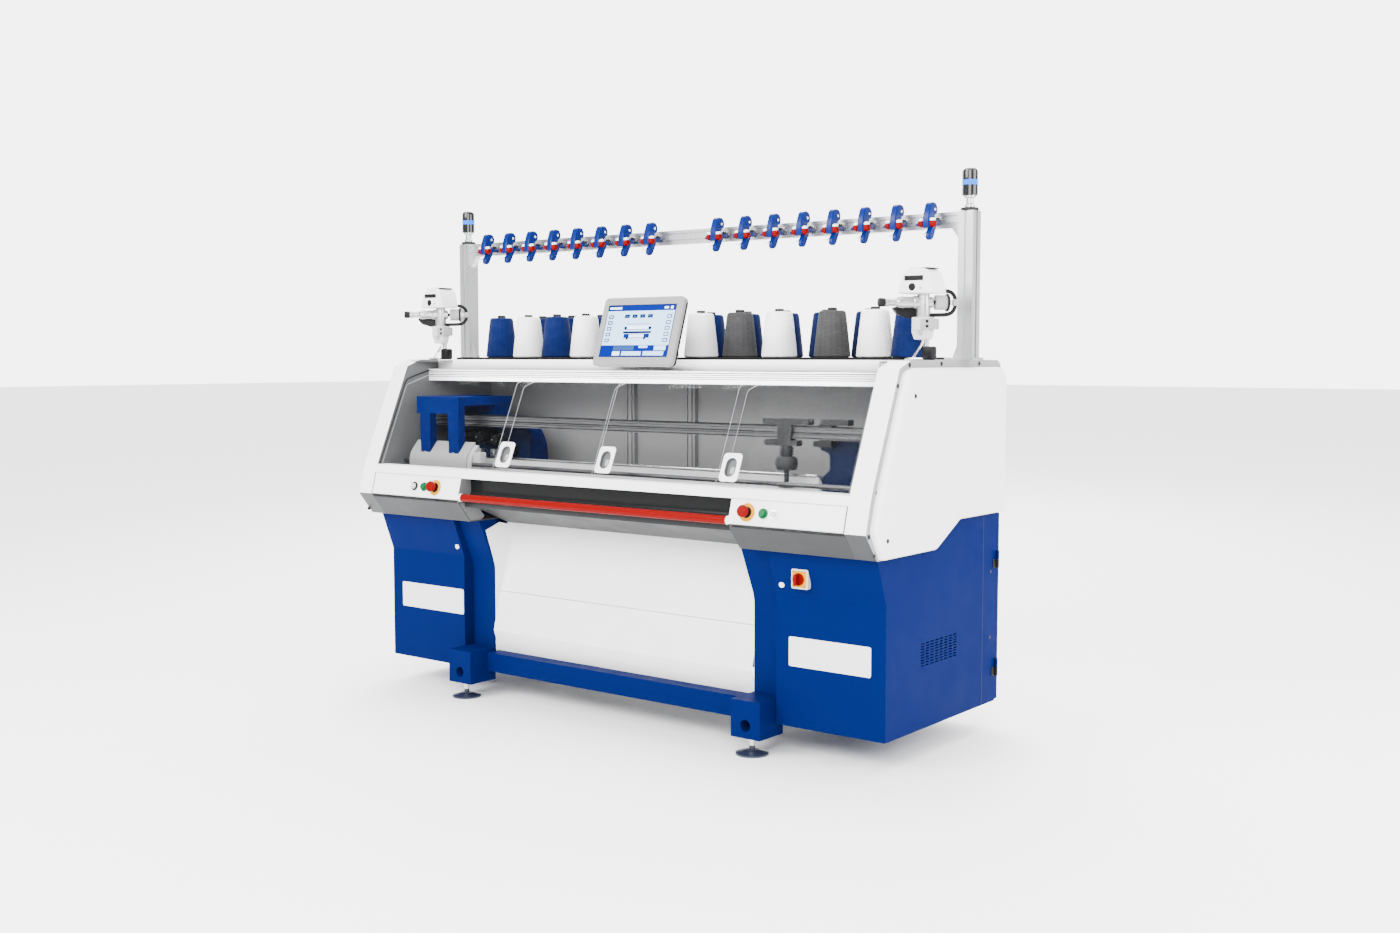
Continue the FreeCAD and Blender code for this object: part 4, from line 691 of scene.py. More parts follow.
class KNIT_OT_yarn_brakes(bpy.types.Operator):
    """Yarn brakes: hook plate, paddle, knobs, clamp and guide wires"""
    bl_idname = "knit.yarn_brakes"
    bl_label = "Yarn brakes"

    def brake(self, x, index):
        piece = Piece("yarn_brake_%02d" % index, "machine")
        y = RAIL_FRONT - 48
        z = BRAKE_Z
        back = Vector((0, 1, 0))
        up = Vector((0, 0, 1))
        hook = [(-34.5, -25), (-33.5, 15), (-16, 61), (17, 61), (27.5, 42), (24, 25), (13, 22), (5, 8),
                (2, -25)]
        hook = smooth_outline(mm(hook), [0.006, 0.016, 0.014, 0.013, 0.008, 0.006, 0.005, 0.008, 0.006])
        piece.plate(hook, at(x - 12, y, z), back, up, 0.024, "brake_blue", 0.003)
        paddle = [(22, -2), (-8, -60), (-22, -65), (-35, -58), (-33, -42), (-4, -2), (8, 8)]
        paddle = smooth_outline(mm(paddle), [0.006, 0.014, 0.012, 0.014, 0.014, 0.008, 0.006])
        piece.plate(paddle, at(x - 2, y, z), back, up, 0.018, "brake_blue", 0.0035)
        piece.turned(at(x + 16.5, y - 20, z - 48), (-1, 0, 0),
                     [(0, 0.008), (0.001, 0.009), (0.0035, 0.009)],
                     "brake_blue", 20)
        piece.block(at(x - 8, y - 2, z - 12), at(x + 8, RAIL_FRONT, z + 9), "brake_blue", 0.002)
        piece.block(at(x + 8, y + 16, z + 4), at(x + 15, y + 34, z + 12), "charcoal_plastic", 0.002)
        piece.turned(at(x + 12.2, y + 7, z + 38), (1, 0, 0), [(0, 0.0045), (0.0012, 0.004)],
                     "white_plastic", 14)
        for side in (-1, 1):
            knob = [(0, 0.006), (0.001, 0.0115), (0.004, 0.0128), (0.011, 0.0122), (0.017, 0.0095),
                    (0.0182, 0.006)]
            spot = at(x + side * 13, y - 22, z - 10)
            piece.turned(spot, (side, 0, 0), knob, "signal_red", 24)
            cap = [(0, 0.009), (0.002, 0.0105), (0.008, 0.009), (0.010, 0.004)]
            piece.turned(at(x + side * 20, y - 22, z - 1), (0, -0.1, 1), cap, "white_plastic", 18)
        piece.turned(at(x - 31, y - 22, z - 12), (-1, 0, -0.1),
                     [(0, 0.007), (0.004, 0.0065), (0.012, 0.002)],
                     "brake_blue", 16)
        wire = sizes().wire_radius
        loop = [at(x - 11, y - 30, z - 26), at(x - 13, y - 38, z - 34), at(x - 11, y - 38, z - 46),
                at(x - 6, y - 28, z - 44), at(x - 5, y - 18, z - 34)]
        piece.wire(loop, wire, "bright_steel")
        arm = [at(x + 24, 432, z + 9), at(x + 34, 424, z + 6), at(x + 44, 404, z - 2),
               at(x + 58, 392, z - 6)]
        piece.wire(arm, wire * 1.6, "charcoal_plastic")
        return piece.done(slot="blue_plastic")

    def execute(self, context):
        for group, centre in enumerate((-559.0, 631.0)):
            for i in range(8):
                self.brake(centre + (i - 3.5) * 125.0, group * 8 + i)
        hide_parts("yarn_brakes", "brake_knobs")
        return {"FINISHED"}


class KNIT_OT_touch_screen(bpy.types.Operator):
    """Tilting touch screen with a plain generic display"""
    bl_idname = "knit.touch_screen"
    bl_label = "Touch screen"

    def execute(self, context):
        piece = Piece("screen_unit", "screen")
        tilt = Matrix.Rotation(math.radians(-18), 4, "X")
        piece.place = Matrix.Translation(at(43, 139, 1388)) @ tilt
        right = Vector((1, 0, 0))
        up = Vector((0, 0, 1))
        w, h, d = 0.372, 0.258, 0.019
        front = rounded_outline(w, h, 0.017)
        piece.plate(front, (0, 0.002, 0), right, up, d + 0.002, "bezel_silver", 0.004)
        piece.plate(rounded_outline(w - 0.014, h - 0.014, 0.014), (0, d, 0), right, up, d - 0.002,
                    "black_plastic", 0.003)
        piece.plate(rounded_outline(w - 0.002, h - 0.002, 0.016), (0, 0.006, 0), right, up, 0.004,
                    "black_plastic", 0.001)
        for side in (-1, 1):
            ear = smooth_outline([(0.0, -0.022), (0.034, -0.022), (0.034, 0.022), (0.0, 0.022)],
                                 [0, 0.016, 0.016, 0])
            piece.plate(ear, (side * 0.04 - 0.006, d - 0.001, 0), (0, 1, 0), up, 0.012, "mid_grey_plastic",
                        0.002)
        face = -d - 0.0002
        rim = sizes().bezel_width
        x0, x1 = -w / 2 + rim + 0.008, w / 2 - rim - 0.008
        z0, z1 = -h / 2 + rim + 0.011, h / 2 - rim - 0.010

        def tile(left, right_edge, low, high, name, lift=0.0004):
            a = Vector((x0 + (x1 - x0) * left, face - lift, z0 + (z1 - z0) * low))
            b = Vector((x0 + (x1 - x0) * right_edge, face + 0.0008, z0 + (z1 - z0) * high))
            piece.block(a, b, name, 0.0)

        tile(-0.01, 1.01, -0.012, 1.012, "black_plastic", 0.0001)
        tile(0, 1, 0, 1, "screen_pale", 0.0003)
        tile(0, 1, 0.89, 1, "screen_blue")
        tile(0, 1, 0, 0.22, "screen_blue")
        for left, right_edge, low, high, shade in (
                (0.02, 0.20, 0.925, 0.965, "screen_white"), (0.84, 0.90, 0.925, 0.965, "screen_white"),
                (0.93, 0.97, 0.92, 0.97, "screen_white"),
                (0.19, 0.50, 0.12, 0.205, "screen_steel"), (0.19, 0.30, 0.02, 0.10, "screen_white"),
                (0.33, 0.62, 0.02, 0.10, "screen_pale"), (0.65, 0.95, 0.02, 0.10, "screen_pale"),
                (0.57, 0.70, 0.165, 0.21, "screen_pale"), (0.80, 0.97, 0.12, 0.21, "screen_pale")):
            tile(left, right_edge, low, high, shade, 0.0006)
        for i in range(5):
            low = 0.74 - i * 0.115
            tile(0.03, 0.10, low, low + 0.07, "screen_navy" if i < 2 else "screen_steel", 0.0006)
            tile(0.045, 0.085, low + 0.02, low + 0.05, "screen_pale", 0.0008)
            tile(0.90, 0.97, low, low + 0.07, "screen_blue" if i == 4 else "screen_steel", 0.0006)
            tile(0.915, 0.955, low + 0.02, low + 0.05, "screen_white", 0.0008)
        for i in range(4):
            tile(0.27 + i * 0.115, 0.345 + i * 0.115, 0.75, 0.82, "screen_navy", 0.0006)
            tile(0.29 + i * 0.115, 0.325 + i * 0.115, 0.765, 0.80, "screen_steel", 0.0008)
        for left, right_edge, low, high, shade, lift in (
                (0.33, 0.67, 0.625, 0.635, "screen_steel", 0.0006), (0.30, 0.70, 0.52, 0.58, "screen_navy",
                                                                     0.0006),
                (0.34, 0.66, 0.53, 0.60, "screen_white", 0.0008), (0.29, 0.71, 0.45, 0.49, "screen_navy",
                                                                   0.0006),
                (0.31, 0.69, 0.36, 0.44, "screen_blue", 0.0006), (0.39, 0.61, 0.37, 0.43, "screen_white",
                                                                  0.0008)):
            tile(left, right_edge, low, high, shade, lift)
        for left in (0.35, 0.61):
            tile(left, left + 0.03, 0.33, 0.37, "screen_navy", 0.0006)
        piece.done("touch_screen", slot="white_plastic", smooth_angle=28)
        return {"FINISHED"}


class KNIT_OT_feed_units(bpy.types.Operator):
    """Yarn feed units with head, barrel, bow, clamp and lever"""
    bl_idname = "knit.feed_units"
    bl_label = "Yarn feed units"

    def unit(self, side, label):
        piece = Piece("feed_unit_" + label, "machine")
        piece.place = Matrix.Translation(at(side * FEED_UNIT[0], FEED_UNIT[1], FEED_UNIT[2]))
        axis = Vector((-1, -1, 0)).normalized()
        up = Vector((0, 0, 1))
        right = Vector((1, 0, 0))
        head = smooth_outline([(-0.070, 0.028), (0.060, 0.028), (0.040, 0.108), (-0.042, 0.108)],
                              [0.01, 0.01, 0.034, 0.034], 8)
        piece.plate(head, (0, 0.046, 0), right, up, 0.092, "white_plastic", 0.006)
        face = smooth_outline([(-0.066, 0.031), (0.056, 0.031), (0.037, 0.104), (-0.039, 0.104)],
                              [0.01, 0.01, 0.03, 0.03], 8)
        piece.plate(face, (0, -0.044, 0), right, up, 0.004, "white_plastic", 0.001)
        piece.block((-0.042, -0.0492, 0.068), (0.026, -0.046, 0.084), "black_plastic", 0.001)
        piece.turned((-0.014, -0.047, 0.048), (0, -1, 0), [(0, 0.012), (0.002, 0.0125), (0.0025, 0.009),
                                                           (0.004, 0.008)],
                     "black_plastic", 24)
        piece.turned((0.016, -0.047, 0.044), (0, -1, 0), [(0, 0.004), (0.003, 0.0035)], "mid_grey_plastic",
                     14)
        lid = smooth_outline([(-0.030, 0.0), (0.034, 0.0), (0.034, 0.004), (-0.030, 0.004)], [0.001] * 4)
        piece.plate(lid, (0, 0.036, 0.1055), right, up, 0.066, "black_plastic", 0.001)
        barrel = [(-0.030, 0.014), (-0.029, 0.0175), (0.006, 0.0195), (0.010, 0.021), (0.030, 0.021),
                  (0.034, 0.018),
                  (0.060, 0.0175), (0.064, 0.019), (0.082, 0.0175), (0.088, 0.0125), (0.112, 0.0115),
                  (0.114, 0.0135), (0.124, 0.0135), (0.126, 0.011)]
        piece.turned((0, 0, 0), axis, barrel, "cast_metal", 32)
        nozzle = [(0.0, 0.010), (0.001, 0.0135), (0.016, 0.0145), (0.021, 0.012), (0.0215, 0.007),
                  (0.014, 0.006)]
        piece.turned(axis * 0.126, axis, nozzle, "black_plastic", 28)
        shroud = smooth_outline([(0.0, -0.002), (0.096, -0.006), (0.080, -0.030), (0.030, -0.044),
                                 (0.0, -0.040)],
                                [0.004, 0.01, 0.012, 0.012, 0.004])
        sideways = axis.cross(up)
        piece.plate(shroud, sideways * 0.013 + Vector((0, 0, -0.008)), axis, up, 0.026, "black_plastic",
                    0.005)
        handle = ((-0.004, 0.034), (-0.05, 0.037), (-0.088, 0.037), (-0.104, 0.020), (-0.106, 0.0),
                  (-0.104, -0.020), (-0.088, -0.038), (-0.05, -0.040), (-0.02, -0.040))
        bow = [axis * d + up * h for d, h in handle]
        piece.wire(bow, 0.0065, "black_plastic", 16)
        piece.turned(axis * -0.096, -axis, [(0, 0.009), (0.002, 0.012), (0.016, 0.012), (0.018, 0.009)],
                     "mid_grey_plastic", 24)
        neck = [(-0.082, 0.018), (-0.050, 0.020), (-0.030, 0.023), (0.0, 0.021), (0.036, 0.019)]
        piece.turned((0, 0, 0), up, neck, "cast_metal", 32)
        piece.block((-0.030, -0.022, -0.088), (0.030, 0.026, -0.046), "light_grey_plastic", 0.004)
        piece.block((0.004, -0.026, -0.086), (0.046, 0.024, -0.052), "mid_grey_plastic", 0.003)
        for z in (-0.060, -0.076):
            piece.turned((0.030, -0.026, z), (0, -1, 0), [(0, 0.0048), (0.003, 0.0048), (0.0032, 0.002)],
                         "black_plastic", 16)
        jaw = [(-0.032, -0.074), (-0.034, -0.092), (-0.024, -0.118), (0.024, -0.118), (0.032, -0.092),
               (0.028, -0.074)]
        jaw = smooth_outline(jaw, [0.003, 0.006, 0.005, 0.005, 0.006, 0.003])
        piece.plate(jaw, (0, 0.018, 0), right, up, 0.034, "light_grey_plastic", 0.003)
        piece.turned((0, -0.016, -0.096), (0, -1, 0), [(0, 0.009), (0.002, 0.0085), (0.003, 0.004)],
                     "mid_grey_plastic", 18)
        low = (FRAME_TOP - FEED_UNIT[2]) * MM
        piece.wire([(0.002, 0, -0.114), (0.0, 0, -0.130), (-0.022, -0.006, low + 0.020),
                    (-0.030, -0.010, low + 0.006)],
                   0.0045, "bright_steel", 12)
        piece.block((-0.052, -0.024, low), (0.012, 0.004, low + 0.007), "bright_steel", 0.002)
        piece.block((-0.006, 0.0, low), (0.034, 0.034, low + 0.044), "black_plastic", 0.006)
        piece.turned((0.004, 0.016, low + 0.040), up, [(0, 0.009), (0.05, 0.009), (0.052, 0.007)],
                     "ground_steel", 20)
        return piece.done(slot="white_plastic")

    def spool(self, side, label):
        piece = Piece("feed_reel_" + label, "spool_" + label)
        piece.place = Matrix.Translation(at(side * FEED_UNIT[0], FEED_UNIT[1], FEED_UNIT[2]))
        back = Vector((1, 1, 0)).normalized()
        drum = [(0.038, 0.016), (0.0385, 0.0235), (0.060, 0.0238), (0.076, 0.0235)]
        piece.turned((0, 0, 0), back, drum, "mid_grey_plastic", 40)
        wheel = [(0.0742, 0.020), (0.0745, 0.0275), (0.077, 0.0288), (0.080, 0.0288), (0.082, 0.027),
                 (0.082, 0.010)]
        piece.turned((0, 0, 0), back, wheel, "black_plastic", 40)
        piece.turned((0, 0, 0), back, [(0.082, 0.012), (0.086, 0.010), (0.094, 0.0069)], "white_plastic",
                     24)
        piece.turned((0, 0, 0), back, [(0.028, 0.0069), (0.038, 0.0069)], "black_plastic", 20)
        return piece.done("feed_spool_" + label, slot="black_plastic")

    def execute(self, context):
        left = self.unit(-1, "left")
        self.unit(1, "right")
        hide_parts("feed_unit_bodies")
        self.spool(-1, "left")
        self.spool(1, "right")
        return {"FINISHED"}


def facing(node):
    """The plane of a tilted plate: its centre on the front face, its up direction, sizes and depth."""
    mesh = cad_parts[node].data
    areas = {}
    for polygon in mesh.polygons:
        n = polygon.normal
        if n.y < -0.5:
            key = (round(n.x, 2), round(n.y, 2), round(n.z, 2))
            areas[key] = areas.get(key, 0) + polygon.area
    normal = Vector(max(areas, key=areas.get)).normalized()
    right = Vector((1, 0, 0))
    up = normal.cross(right).normalized()
    spans = []
    for axis in (right, up, normal):
        reach = [v.co.dot(axis) for v in mesh.vertices]
        spans.append((min(reach), max(reach)))
    middle = [(low + high) / 2 for low, high in spans]
    centre = right * middle[0] + up * middle[1] + normal * spans[2][1]
    return centre, right, up, normal, [high - low for low, high in spans]


class KNIT_OT_window_pulls(bpy.types.Operator):
    """White window pulls with a dished finger recess in painted shade and a small painted highlight in it
    """
    bl_idname = "knit.window_pulls"
    bl_label = "Window pulls"

    def execute(self, context):
        for number in (2, 3, 4):
            node = "window_handle_%d" % number
            centre, right, up, normal, size = facing(node)
            piece = Piece("window_pull_%d" % number, "sliding_window_%d" % number)
            outer = rounded_outline(size[0], size[1], 0.014, 8)
            inner = rounded_outline(0.044, 0.066, 0.0215, 8)
            piece.collar(outer, inner, centre - normal * 0.0025, right, up, 0.0025, "white_plastic", 0.0007)
            rim = rounded_outline(0.0442, 0.0662, 0.0216, 8)
            bowl = rounded_outline(0.0405, 0.0625, 0.0198, 8)
            depth = size[2]
            # The recess is lined with dark grey as painted shade.
            piece.collar(rim, bowl, centre - normal * depth, right, up, depth - 0.0006, "recess_grey",
                         0.0004)
            piece.plate(bowl, centre - normal * depth, right, up, 0.0015, "recess_grey", 0.0)
            # A lighter raised patch low in the bowl is a painted highlight.
            painted_highlight_lip = rounded_outline(0.016, 0.026, 0.0078, 8)
            spot = centre - normal * (depth - 0.0015) - up * 0.008 + right * 0.004
            piece.plate(painted_highlight_lip, spot, right, up, depth * 0.35, "mid_grey_plastic", 0.0018)
            piece.done(node, slot="white_plastic")
        return {"FINISHED"}


class KNIT_OT_signal_lamps(bpy.types.Operator):
    """Signal lamps on the columns"""
    bl_idname = "knit.signal_lamps"
    bl_label = "Signal lamps"

    def execute(self, context):
        for side, label in ((-1, "left"), (1, "right")):
            piece = Piece("signal_lamp_" + label, "machine")
            base = at(side * COLUMN_X, COLUMN_Y, COLUMN_TOP)
            up = (0, 0, 1)
            piece.turned(base, up, [(0, 0.020), (0.0, 0.0292), (0.009, 0.0292), (0.011, 0.024),
                                    (0.012, 0.012)],
                         "charcoal_plastic", 36)
            stem = [(0.010, 0.0150), (0.012, 0.0165), (0.020, 0.0165), (0.023, 0.0125), (0.040, 0.0125),
                    (0.043, 0.0195), (0.050, 0.0195)]
            piece.turned(base, up, stem, "ground_steel", 32)
            piece.turned(base, up, [(0.049, 0.0240), (0.051, 0.0258), (0.083, 0.0258)], "lamp_dark", 40)
            band = [(0.083, 0.0245), (0.0832, 0.0256), (0.100, 0.0256), (0.1002, 0.0245)]
            piece.turned(base, up, band, "lamp_blue", 40)
            cap = [(0.100, 0.0258), (0.124, 0.0258), (0.132, 0.0240), (0.1368, 0.019), (0.138, 0.010),
                   (0.138, 0.001)]
            piece.turned(base, up, cap, "lamp_dark", 40)
            for h in (0.0620, 0.0730, 0.1120):
                piece.turned(base, up, [(h, 0.0250), (h + 0.0006, 0.0261), (h + 0.0012, 0.0250)],
                             "charcoal_plastic", 40)
            piece.done(slot="white_plastic")
        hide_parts("signal_lamps")
        return {"FINISHED"}


def panel_frame(x):
    """Placement on the control panels' face: local Z points out of the panel."""
    normal = Vector((0, -0.966, 0.259)).normalized()
    spot = at(x, PANEL_FOOT_Y + (CONTROLS_Z - PANEL_FOOT_Z) * PANEL_LEAN, CONTROLS_Z)
    right = Vector((1, 0, 0))
    up = normal.cross(right)
    turn = Matrix((right, up, normal)).transposed().to_4x4()
    return Matrix.Translation(spot) @ turn


class KNIT_OT_controls(bpy.types.Operator):
    """Bezels, collars, indicator lamps and the main switch's box"""
    bl_idname = "knit.controls"
    bl_label = "Operator controls"

    def on_panel(self, name, x):
        piece = Piece(name, "machine")
        piece.place = panel_frame(x)
        return piece

    def ring(self, piece, inner, outer, height, name, sides=48):
        ring = [(0, inner), (0, outer - 0.0006), (0.0008, outer), (height - 0.0008, outer),
                (height, outer - 0.0008), (height, inner)]
        piece.turned((0, 0, 0), (0, 0, 1), ring, name, sides)

    def execute(self, context):
        for i, x in enumerate(BUTTON_X):
            piece = self.on_panel("button_bezel_%d" % i, x)
            self.ring(piece, 0.0112, 0.0168, 0.0060, "button_green")
            piece.done(slot="white_plastic")
        for i, x in enumerate(STOP_X):
            piece = self.on_panel("stop_collar_%d" % i, x)
            self.ring(piece, 0.0066, 0.0298, 0.0028, "collar_yellow", 56)
            self.ring(piece, 0.0066, 0.0185, 0.0038, "black_plastic")
            piece.done(slot="red_plastic")
        for i, x in enumerate(INDICATOR_X):
            piece = self.on_panel("indicator_%d" % i, x)
            self.ring(piece, 0.0105, 0.0165, 0.0055, "black_plastic" if i == 0 else "bright_steel")
            lens = [(0.0, 0.0105), (0.009, 0.0105), (0.0118, 0.008), (0.0128, 0.003)]
            piece.turned((0, 0, 0), (0, 0, 1), lens, "clear_lens", 36)
            piece.done(slot="white_plastic")
        self.switch_box()
        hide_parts("switch_bezels")
        return {"FINISHED"}

    def switch_box(self):
        piece = Piece("switch_box", "machine")
        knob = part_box("main_switch_knob")
        face = knob[1].y - 0.0055
        centre = Vector(((knob[0].x + knob[1].x) / 2, 0, (knob[0].z + knob[1].z) / 2))
        outline = rounded_outline(0.064, 0.064, 0.006)
        piece.plate(outline, (centre.x, face + 0.020, centre.z), (1, 0, 0), (0, 0, 1), 0.020,
                    "light_grey_plastic",
                    0.002)
        square = rounded_outline(0.053, 0.053, 0.004)
        piece.plate(square, (centre.x, face + 0.0005, centre.z), (1, 0, 0), (0, 0, 1), 0.0022,
                    "collar_yellow", 0.0005)
        for sx in (-1, 1):
            for sz in (-1, 1):
                spot = (centre.x + sx * 0.0225, face - 0.0015, centre.z + sz * 0.0225)
                piece.turned(spot, (0, -1, 0), [(0, 0.0022), (0.0006, 0.002)], "charcoal_plastic", 12)
        piece.done(slot="white_plastic")


class KNIT_OT_cover_trim(bpy.types.Operator):
    """Screws, blank rating plates, plugs, seams and door locks"""
    bl_idname = "knit.cover_trim"
    bl_label = "Cover trim"

    def screw(self, piece, spot, normal):
        r = sizes().screw_radius
        head = [(0, r), (0.0012, r), (0.0022, r * 0.72), (0.0022, r * 0.45), (0.0008, r * 0.42)]
        piece.turned(spot, normal, head, "charcoal_plastic", 20)

    def execute(self, context):
        piece = Piece("cover_screws", "machine")
        for side in (-1, 1):
            out = Vector((side, 0, 0))
            for y, z in ((25, 1212), (-92, 890), (96, 1276), (300, 1279), (560, 1279), (-138, 762),
                         (-105, 700)):
                self.screw(piece, at(side * FRAME_OUTER, y, z), out)
            for y, z in ((90, 1180), (-70, 745)):
                self.screw(piece, at(side * COVER_OUTER, y, z), out)
        for x in (-1110, -1146, 1110, 1146):
            for y in (250, 620):
                self.screw(piece, at(x, y, FRAME_TOP), (0, 0, 1))
        for x in (-560, 580):
            self.screw(piece, at(x, 58, 200), (0, -1, 0))
        piece.done()
        plate = Piece("blank_plates", "machine")
        for x0, x1, z0, z1 in ((-1094, -741, 303, 401), (787, 1097, 300, 397)):
            outline = rounded_outline((x1 - x0) * MM, (z1 - z0) * MM, 0.006)
            plate.plate(outline, at((x0 + x1) / 2, -0.0, (z0 + z1) / 2), (1, 0, 0), (0, 0, 1), 0.0012,
                        "blank_plate", 0.0004)
        for x, z in ((-759, 569), (766, 565)):
            y = -55.0 * (z - 533.0) / 149.0
            plate.turned(at(x, y + 1, z), (0, -0.938, 0.0), [(0, 0.010), (0.003, 0.0098), (0.0045, 0.007)],
                         "white_plastic", 24)
        plate.done()
        lines = Piece("cabinet_seams", "machine")
        for side in (-1, 1):
            x = side * CABINET_OUTER
            low, high = sorted((x, x + side * 0.35))
            lines.block(at(low, 644, 104), at(high, 646, 764), "charcoal_plastic", 0.0)
            for z in (330, 560):
                lines.turned(at(x, 700, z), (side, 0, 0), [(0, 0.006), (0.0016, 0.0056)],
                             "charcoal_plastic", 18)
        lines.done()
        return {"FINISHED"}


class KNIT_OT_body_strips(bpy.types.Operator):
    """Seals, dark joints and the extruded strips round the opening"""
    bl_idname = "knit.body_strips"
    bl_label = "Body strips"

    def execute(self, context):
        strips = Piece("shelf_profile", "machine")
        strips.block(at(-1000, 194.2, 1247), at(1000, 201, 1253.2), "charcoal_plastic", 0.0005)
        for z in (1251.0, 1236.0, 1222.0):
            strips.block(at(-OPENING_END, 148.8, z), at(OPENING_END, 150.2, z + 2.2), "charcoal_plastic",
                         0.0)
        strips.block(at(-1000, 195.6, 1256), at(1000, 198.2, 1285), "white_plastic", 0.001)
        strips.done()
        edges = Piece("panel_edges", "machine")
        for x0, x1 in ((-PANEL_END, RECESS_LEFT), (RECESS_RIGHT, PANEL_END)):
            edges.block(at(x0, -155.6, 764.2), at(x1, -152, 767.4), "charcoal_plastic", 0.0004)
            edges.block(at(x0, -133.6, 847.8), at(x1, -130, 849.8), "mid_grey_plastic", 0.0)
        for side in (-1, 1):
            edges.place = panel_frame(side * PANEL_END)
            edges.block((-0.0020, -0.040, -0.0005), (0.0020, 0.042, 0.0005), "charcoal_plastic", 0.0)
        edges.place = Matrix.Identity(4)
        edges.block(at(RECESS_LEFT + 1, -118, 741), at(RECESS_RIGHT - 1, -101, 768), "charcoal_plastic",
                    0.003)
        gusset = smooth_outline(mm([(-150, 763), (-90, 684), (-30, 684), (-12, 700), (-72, 763)]), [0] * 5)
        for x in (RECESS_LEFT - 7, RECESS_RIGHT + 3):
            edges.plate(gusset, at(x, 0, 0), (0, 1, 0), (0, 0, 1), 0.004, "panel_grey", 0.0005)
        edges.done()
        seals = Piece("window_seals", "machine")
        for side in (-1, 1):
            x = side * OPENING_END
            points = [at(x, -114, 884), at(x, -60, 1012), at(x, 0, 1150), at(x, 20, 1198), at(x, 34, 1214),
                      at(x, 70, 1226), at(x, 148, 1247)]
            seals.wire(points, 0.0028, "charcoal_plastic", 10)
        seals.done()
        crest = Piece("needle_crest", "machine")
        crest.block(at(-1089, 146, 904), at(795, 153, 912), "bright_steel", 0.001)
        crest.block(at(-1089, 97, 857), at(1089, 103, 864), "ground_steel", 0.001)
        crest.done()
        return {"FINISHED"}


class KNIT_OT_carriage_fittings(bpy.types.Operator):
    """Motors, small castings and the cam cover that ride with the carriage"""
    bl_idname = "knit.carriage_fittings"
    bl_label = "Carriage fittings"

    def execute(self, context):
        piece = Piece("carriage_fittings", "carriage")
        head = smooth_outline(mm([(-1002, 862), (-1002, 1064), (-598, 1064), (-598, 862)]),
                              [0, 0.03, 0.15, 0], 10)
        spot = at(0, 230, 0)
        piece.plate(head, spot, (1, 0, 0), (0, 0, 1), 0.010, "navy_casting", 0.003)
        for x, z, r, length in ((-905, 980, 26, 60), (-820, 985, 26, 60), (-735, 975, 24, 56),
                                (-670, 940, 20, 44)):
            motor = [(0, r * MM * 0.7), (0.002, r * MM), (length * MM * 0.7, r * MM),
                     (length * MM * 0.72, r * MM * 0.8),
                     (length * MM, r * MM * 0.78), (length * MM + 0.002, r * MM * 0.5)]
            piece.turned(at(x, 221, z), (0, -1, 0), motor, "black_plastic", 32)
            piece.turned(at(x, 221 - length - 1, z), (0, -1, 0), [(0, 0.004), (0.012, 0.004)],
                         "bright_steel", 14)
        for x in (-950, -860, -780, -700):
            piece.block(at(x - 14, 200, 905), at(x + 14, 221, 935), "ground_steel", 0.002)
            piece.turned(at(x, 200, 920), (0, -1, 0), [(0, 0.006), (0.004, 0.006), (0.005, 0.003)],
                         "bright_steel", 16)
        piece.done(slot="royal_blue_paint")
        self.front_cover()
        return {"FINISHED"}

    def front_cover(self):
        """The grey cam cover with its sloping front, and the bow's feet that stand on it."""
        piece = Piece("carriage_front_cover", "carriage")
        side = smooth_outline(mm([(4, 866), (4, 916), (50, 971), (56, 971), (56, 866)]),
                              [0, 0.05, 0.006, 0.002, 0], 8)
        piece.plate(side, at(-1050, 0, 0), (0, 1, 0), (0, 0, 1), 0.326, "cover_grey", 0.004)
        end = smooth_outline(mm([(10, 868), (10, 914), (48, 960), (56, 960), (56, 868)]),
                             [0, 0.05, 0.006, 0.002, 0], 8)
        piece.plate(end, at(-725, 0, 0), (0, 1, 0), (0, 0, 1), 0.022, "mid_grey_plastic", 0.002)
        piece.block(at(-704, 20, 872), at(-662, 54, 935), "mid_grey_plastic", 0.004)
        for x0, x1 in ((-993, -937), (-833, -775)):
            piece.block(at(x0, 14, 906), at(x1, 50, 974), "base_blue", 0.003)
            piece.turned(at((x0 + x1) / 2, 15, 925), (0, -1, 0),
                         [(0, 0.006), (0.004, 0.0058), (0.0045, 0.003)],
                         "ground_steel", 16)
        piece.done("carriage_cover", slot="royal_blue_paint")


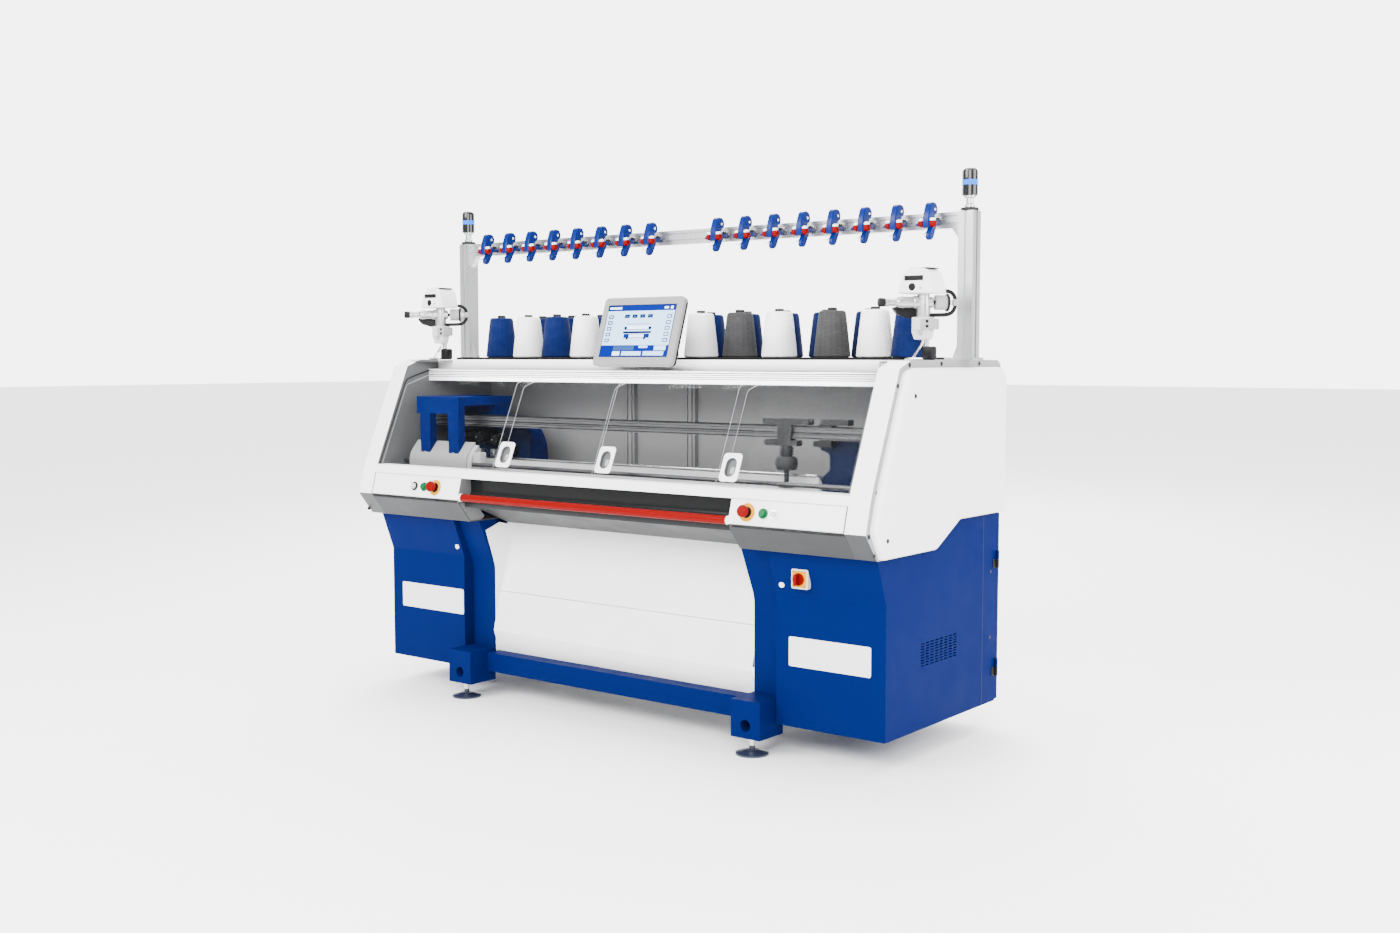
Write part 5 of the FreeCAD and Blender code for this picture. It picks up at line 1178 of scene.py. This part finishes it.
class KNIT_OT_stage(bpy.types.Operator):
    """Plain floor, soft studio light and the camera"""
    bl_idname = "knit.stage"
    bl_label = "Stage"

    def lamp(self, name, spot, aim, size, power):
        light = bpy.data.lights.new(name, "AREA")
        light.shape = "RECTANGLE"
        light.size = size[0]
        light.size_y = size[1]
        light.energy = power
        obj = bpy.data.objects.new(name, light)
        obj.location = spot
        obj.rotation_euler = (Vector(aim) - Vector(spot)).to_track_quat("-Z", "Y").to_euler()
        bpy.context.scene.collection.objects.link(obj)

    def backdrop(self, tree):
        """A bright sweep behind the machine and a dimmer room in front of it."""
        source = tree.nodes.new("ShaderNodeTexCoord")
        facing_wall = tree.nodes.new("ShaderNodeVectorMath")
        facing_wall.operation = "DOT_PRODUCT"
        facing_wall.inputs[1].default_value = (-0.6136, 0.7896, 0.0)
        tree.links.new(source.outputs["Generated"], facing_wall.inputs[0])
        fade = tree.nodes.new("ShaderNodeMapRange")
        fade.interpolation_type = "SMOOTHSTEP"
        for k, number in enumerate((0.25, 0.86, 0.5, 5.8)):
            fade.inputs[k + 1].default_value = number
        tree.links.new(facing_wall.outputs["Value"], fade.inputs[0])
        background = tree.nodes["Background"]
        background.inputs["Color"].default_value = (1.0, 1.0, 1.0, 1)
        tree.links.new(fade.outputs[0], background.inputs["Strength"])

    def execute(self, context):
        scene = context.scene
        mesh = bpy.data.meshes.new("studio_floor")
        reach = 60.0
        mesh.from_pydata([(-reach, -reach, 0), (reach, -reach, 0), (reach, reach, 0), (-reach, reach, 0)],
                         [],
                         [(0, 1, 2, 3)])
        floor = bpy.data.objects.new("studio_floor", mesh)
        scene.collection.objects.link(floor)
        paint = Finish("studio_floor", (0.93, 0.93, 0.93), 0.6)
        paint.relief(paint.noise(200), 0.02, 0.0005)
        mesh.materials.append(paint.mat)
        world = bpy.data.worlds.new("studio_world")
        world.use_nodes = True
        self.backdrop(world.node_tree)
        scene.world = world
        self.lamp("key", (-1.6, -5.6, 4.4), (-0.2, 0, 0.9), (4.2, 3.0), 820)
        self.lamp("fill", (3.4, -4.8, 3.4), (0.3, 0, 0.9), (3.6, 2.8), 560)
        self.lamp("side", (5.4, 0.8, 2.6), (0.8, 0, 0.9), (3.0, 2.6), 380)
        self.lamp("top", (0.0, 0.9, 4.9), (0, 0, 1.0), (5.0, 3.0), 160)
        self.lamp("sweep", (-3.0, 5.0, 4.5), (-1.5, 6.0, 0), (6.0, 4.0), 700)
        self.lamp("hood", at(0, 70, 1212), at(0, 500, 1130), (1.9, 0.06), 5)
        sky = bpy.data.lights.new("sky", "SUN")
        sky.energy = 5.0
        sky.angle = math.radians(70)
        overhead = bpy.data.objects.new("sky", sky)
        overhead.location = (0, 0, 6)
        scene.collection.objects.link(overhead)
        lens = bpy.data.cameras.new("camera")
        lens.sensor_width = 36
        lens.lens = 37.9054
        lens.clip_end = 100
        camera = bpy.data.objects.new("camera", lens)
        camera.location = at(3463, -3915, 1300)
        camera.rotation_euler = (math.radians(85.76), 0, math.radians(37.85))
        scene.collection.objects.link(camera)
        scene.camera = camera
        return {"FINISHED"}


class KNIT_PT_panel(bpy.types.Panel):
    """Sidebar list of the machine's pieces"""
    bl_idname = "KNIT_PT_panel"
    bl_label = "Flat knitting machine"
    bl_space_type = "VIEW_3D"
    bl_region_type = "UI"
    bl_category = "Knitting"

    def draw(self, context):
        layout = self.layout
        for group in (context.scene.knitting_sizes, context.scene.knitting_colours):
            for name in group.__annotations__:
                layout.prop(group, name)
        for operator in OPERATORS:
            layout.operator(operator.bl_idname)


OPERATORS = (KNIT_OT_stage, KNIT_OT_finishes, KNIT_OT_yarn_cones, KNIT_OT_yarn_brakes, KNIT_OT_touch_screen,
             KNIT_OT_window_pulls, KNIT_OT_feed_units, KNIT_OT_signal_lamps, KNIT_OT_controls,
             KNIT_OT_cover_trim, KNIT_OT_body_strips, KNIT_OT_carriage_fittings)
CLASSES = (MachineSizes, MachineColours) + OPERATORS + (KNIT_PT_panel,)


def register():
    for cls in CLASSES:
        bpy.utils.register_class(cls)
    bpy.types.Scene.knitting_sizes = PointerProperty(type=MachineSizes)
    bpy.types.Scene.knitting_colours = PointerProperty(type=MachineColours)


def unregister():
    del bpy.types.Scene.knitting_colours
    del bpy.types.Scene.knitting_sizes
    for cls in reversed(CLASSES):
        bpy.utils.unregister_class(cls)


def main():
    register()
    for operator in OPERATORS:
        getattr(bpy.ops.knit, operator.bl_idname.split(".")[1])()
    bpy.context.view_layer.update()


if __name__ == "__main__":
    main()
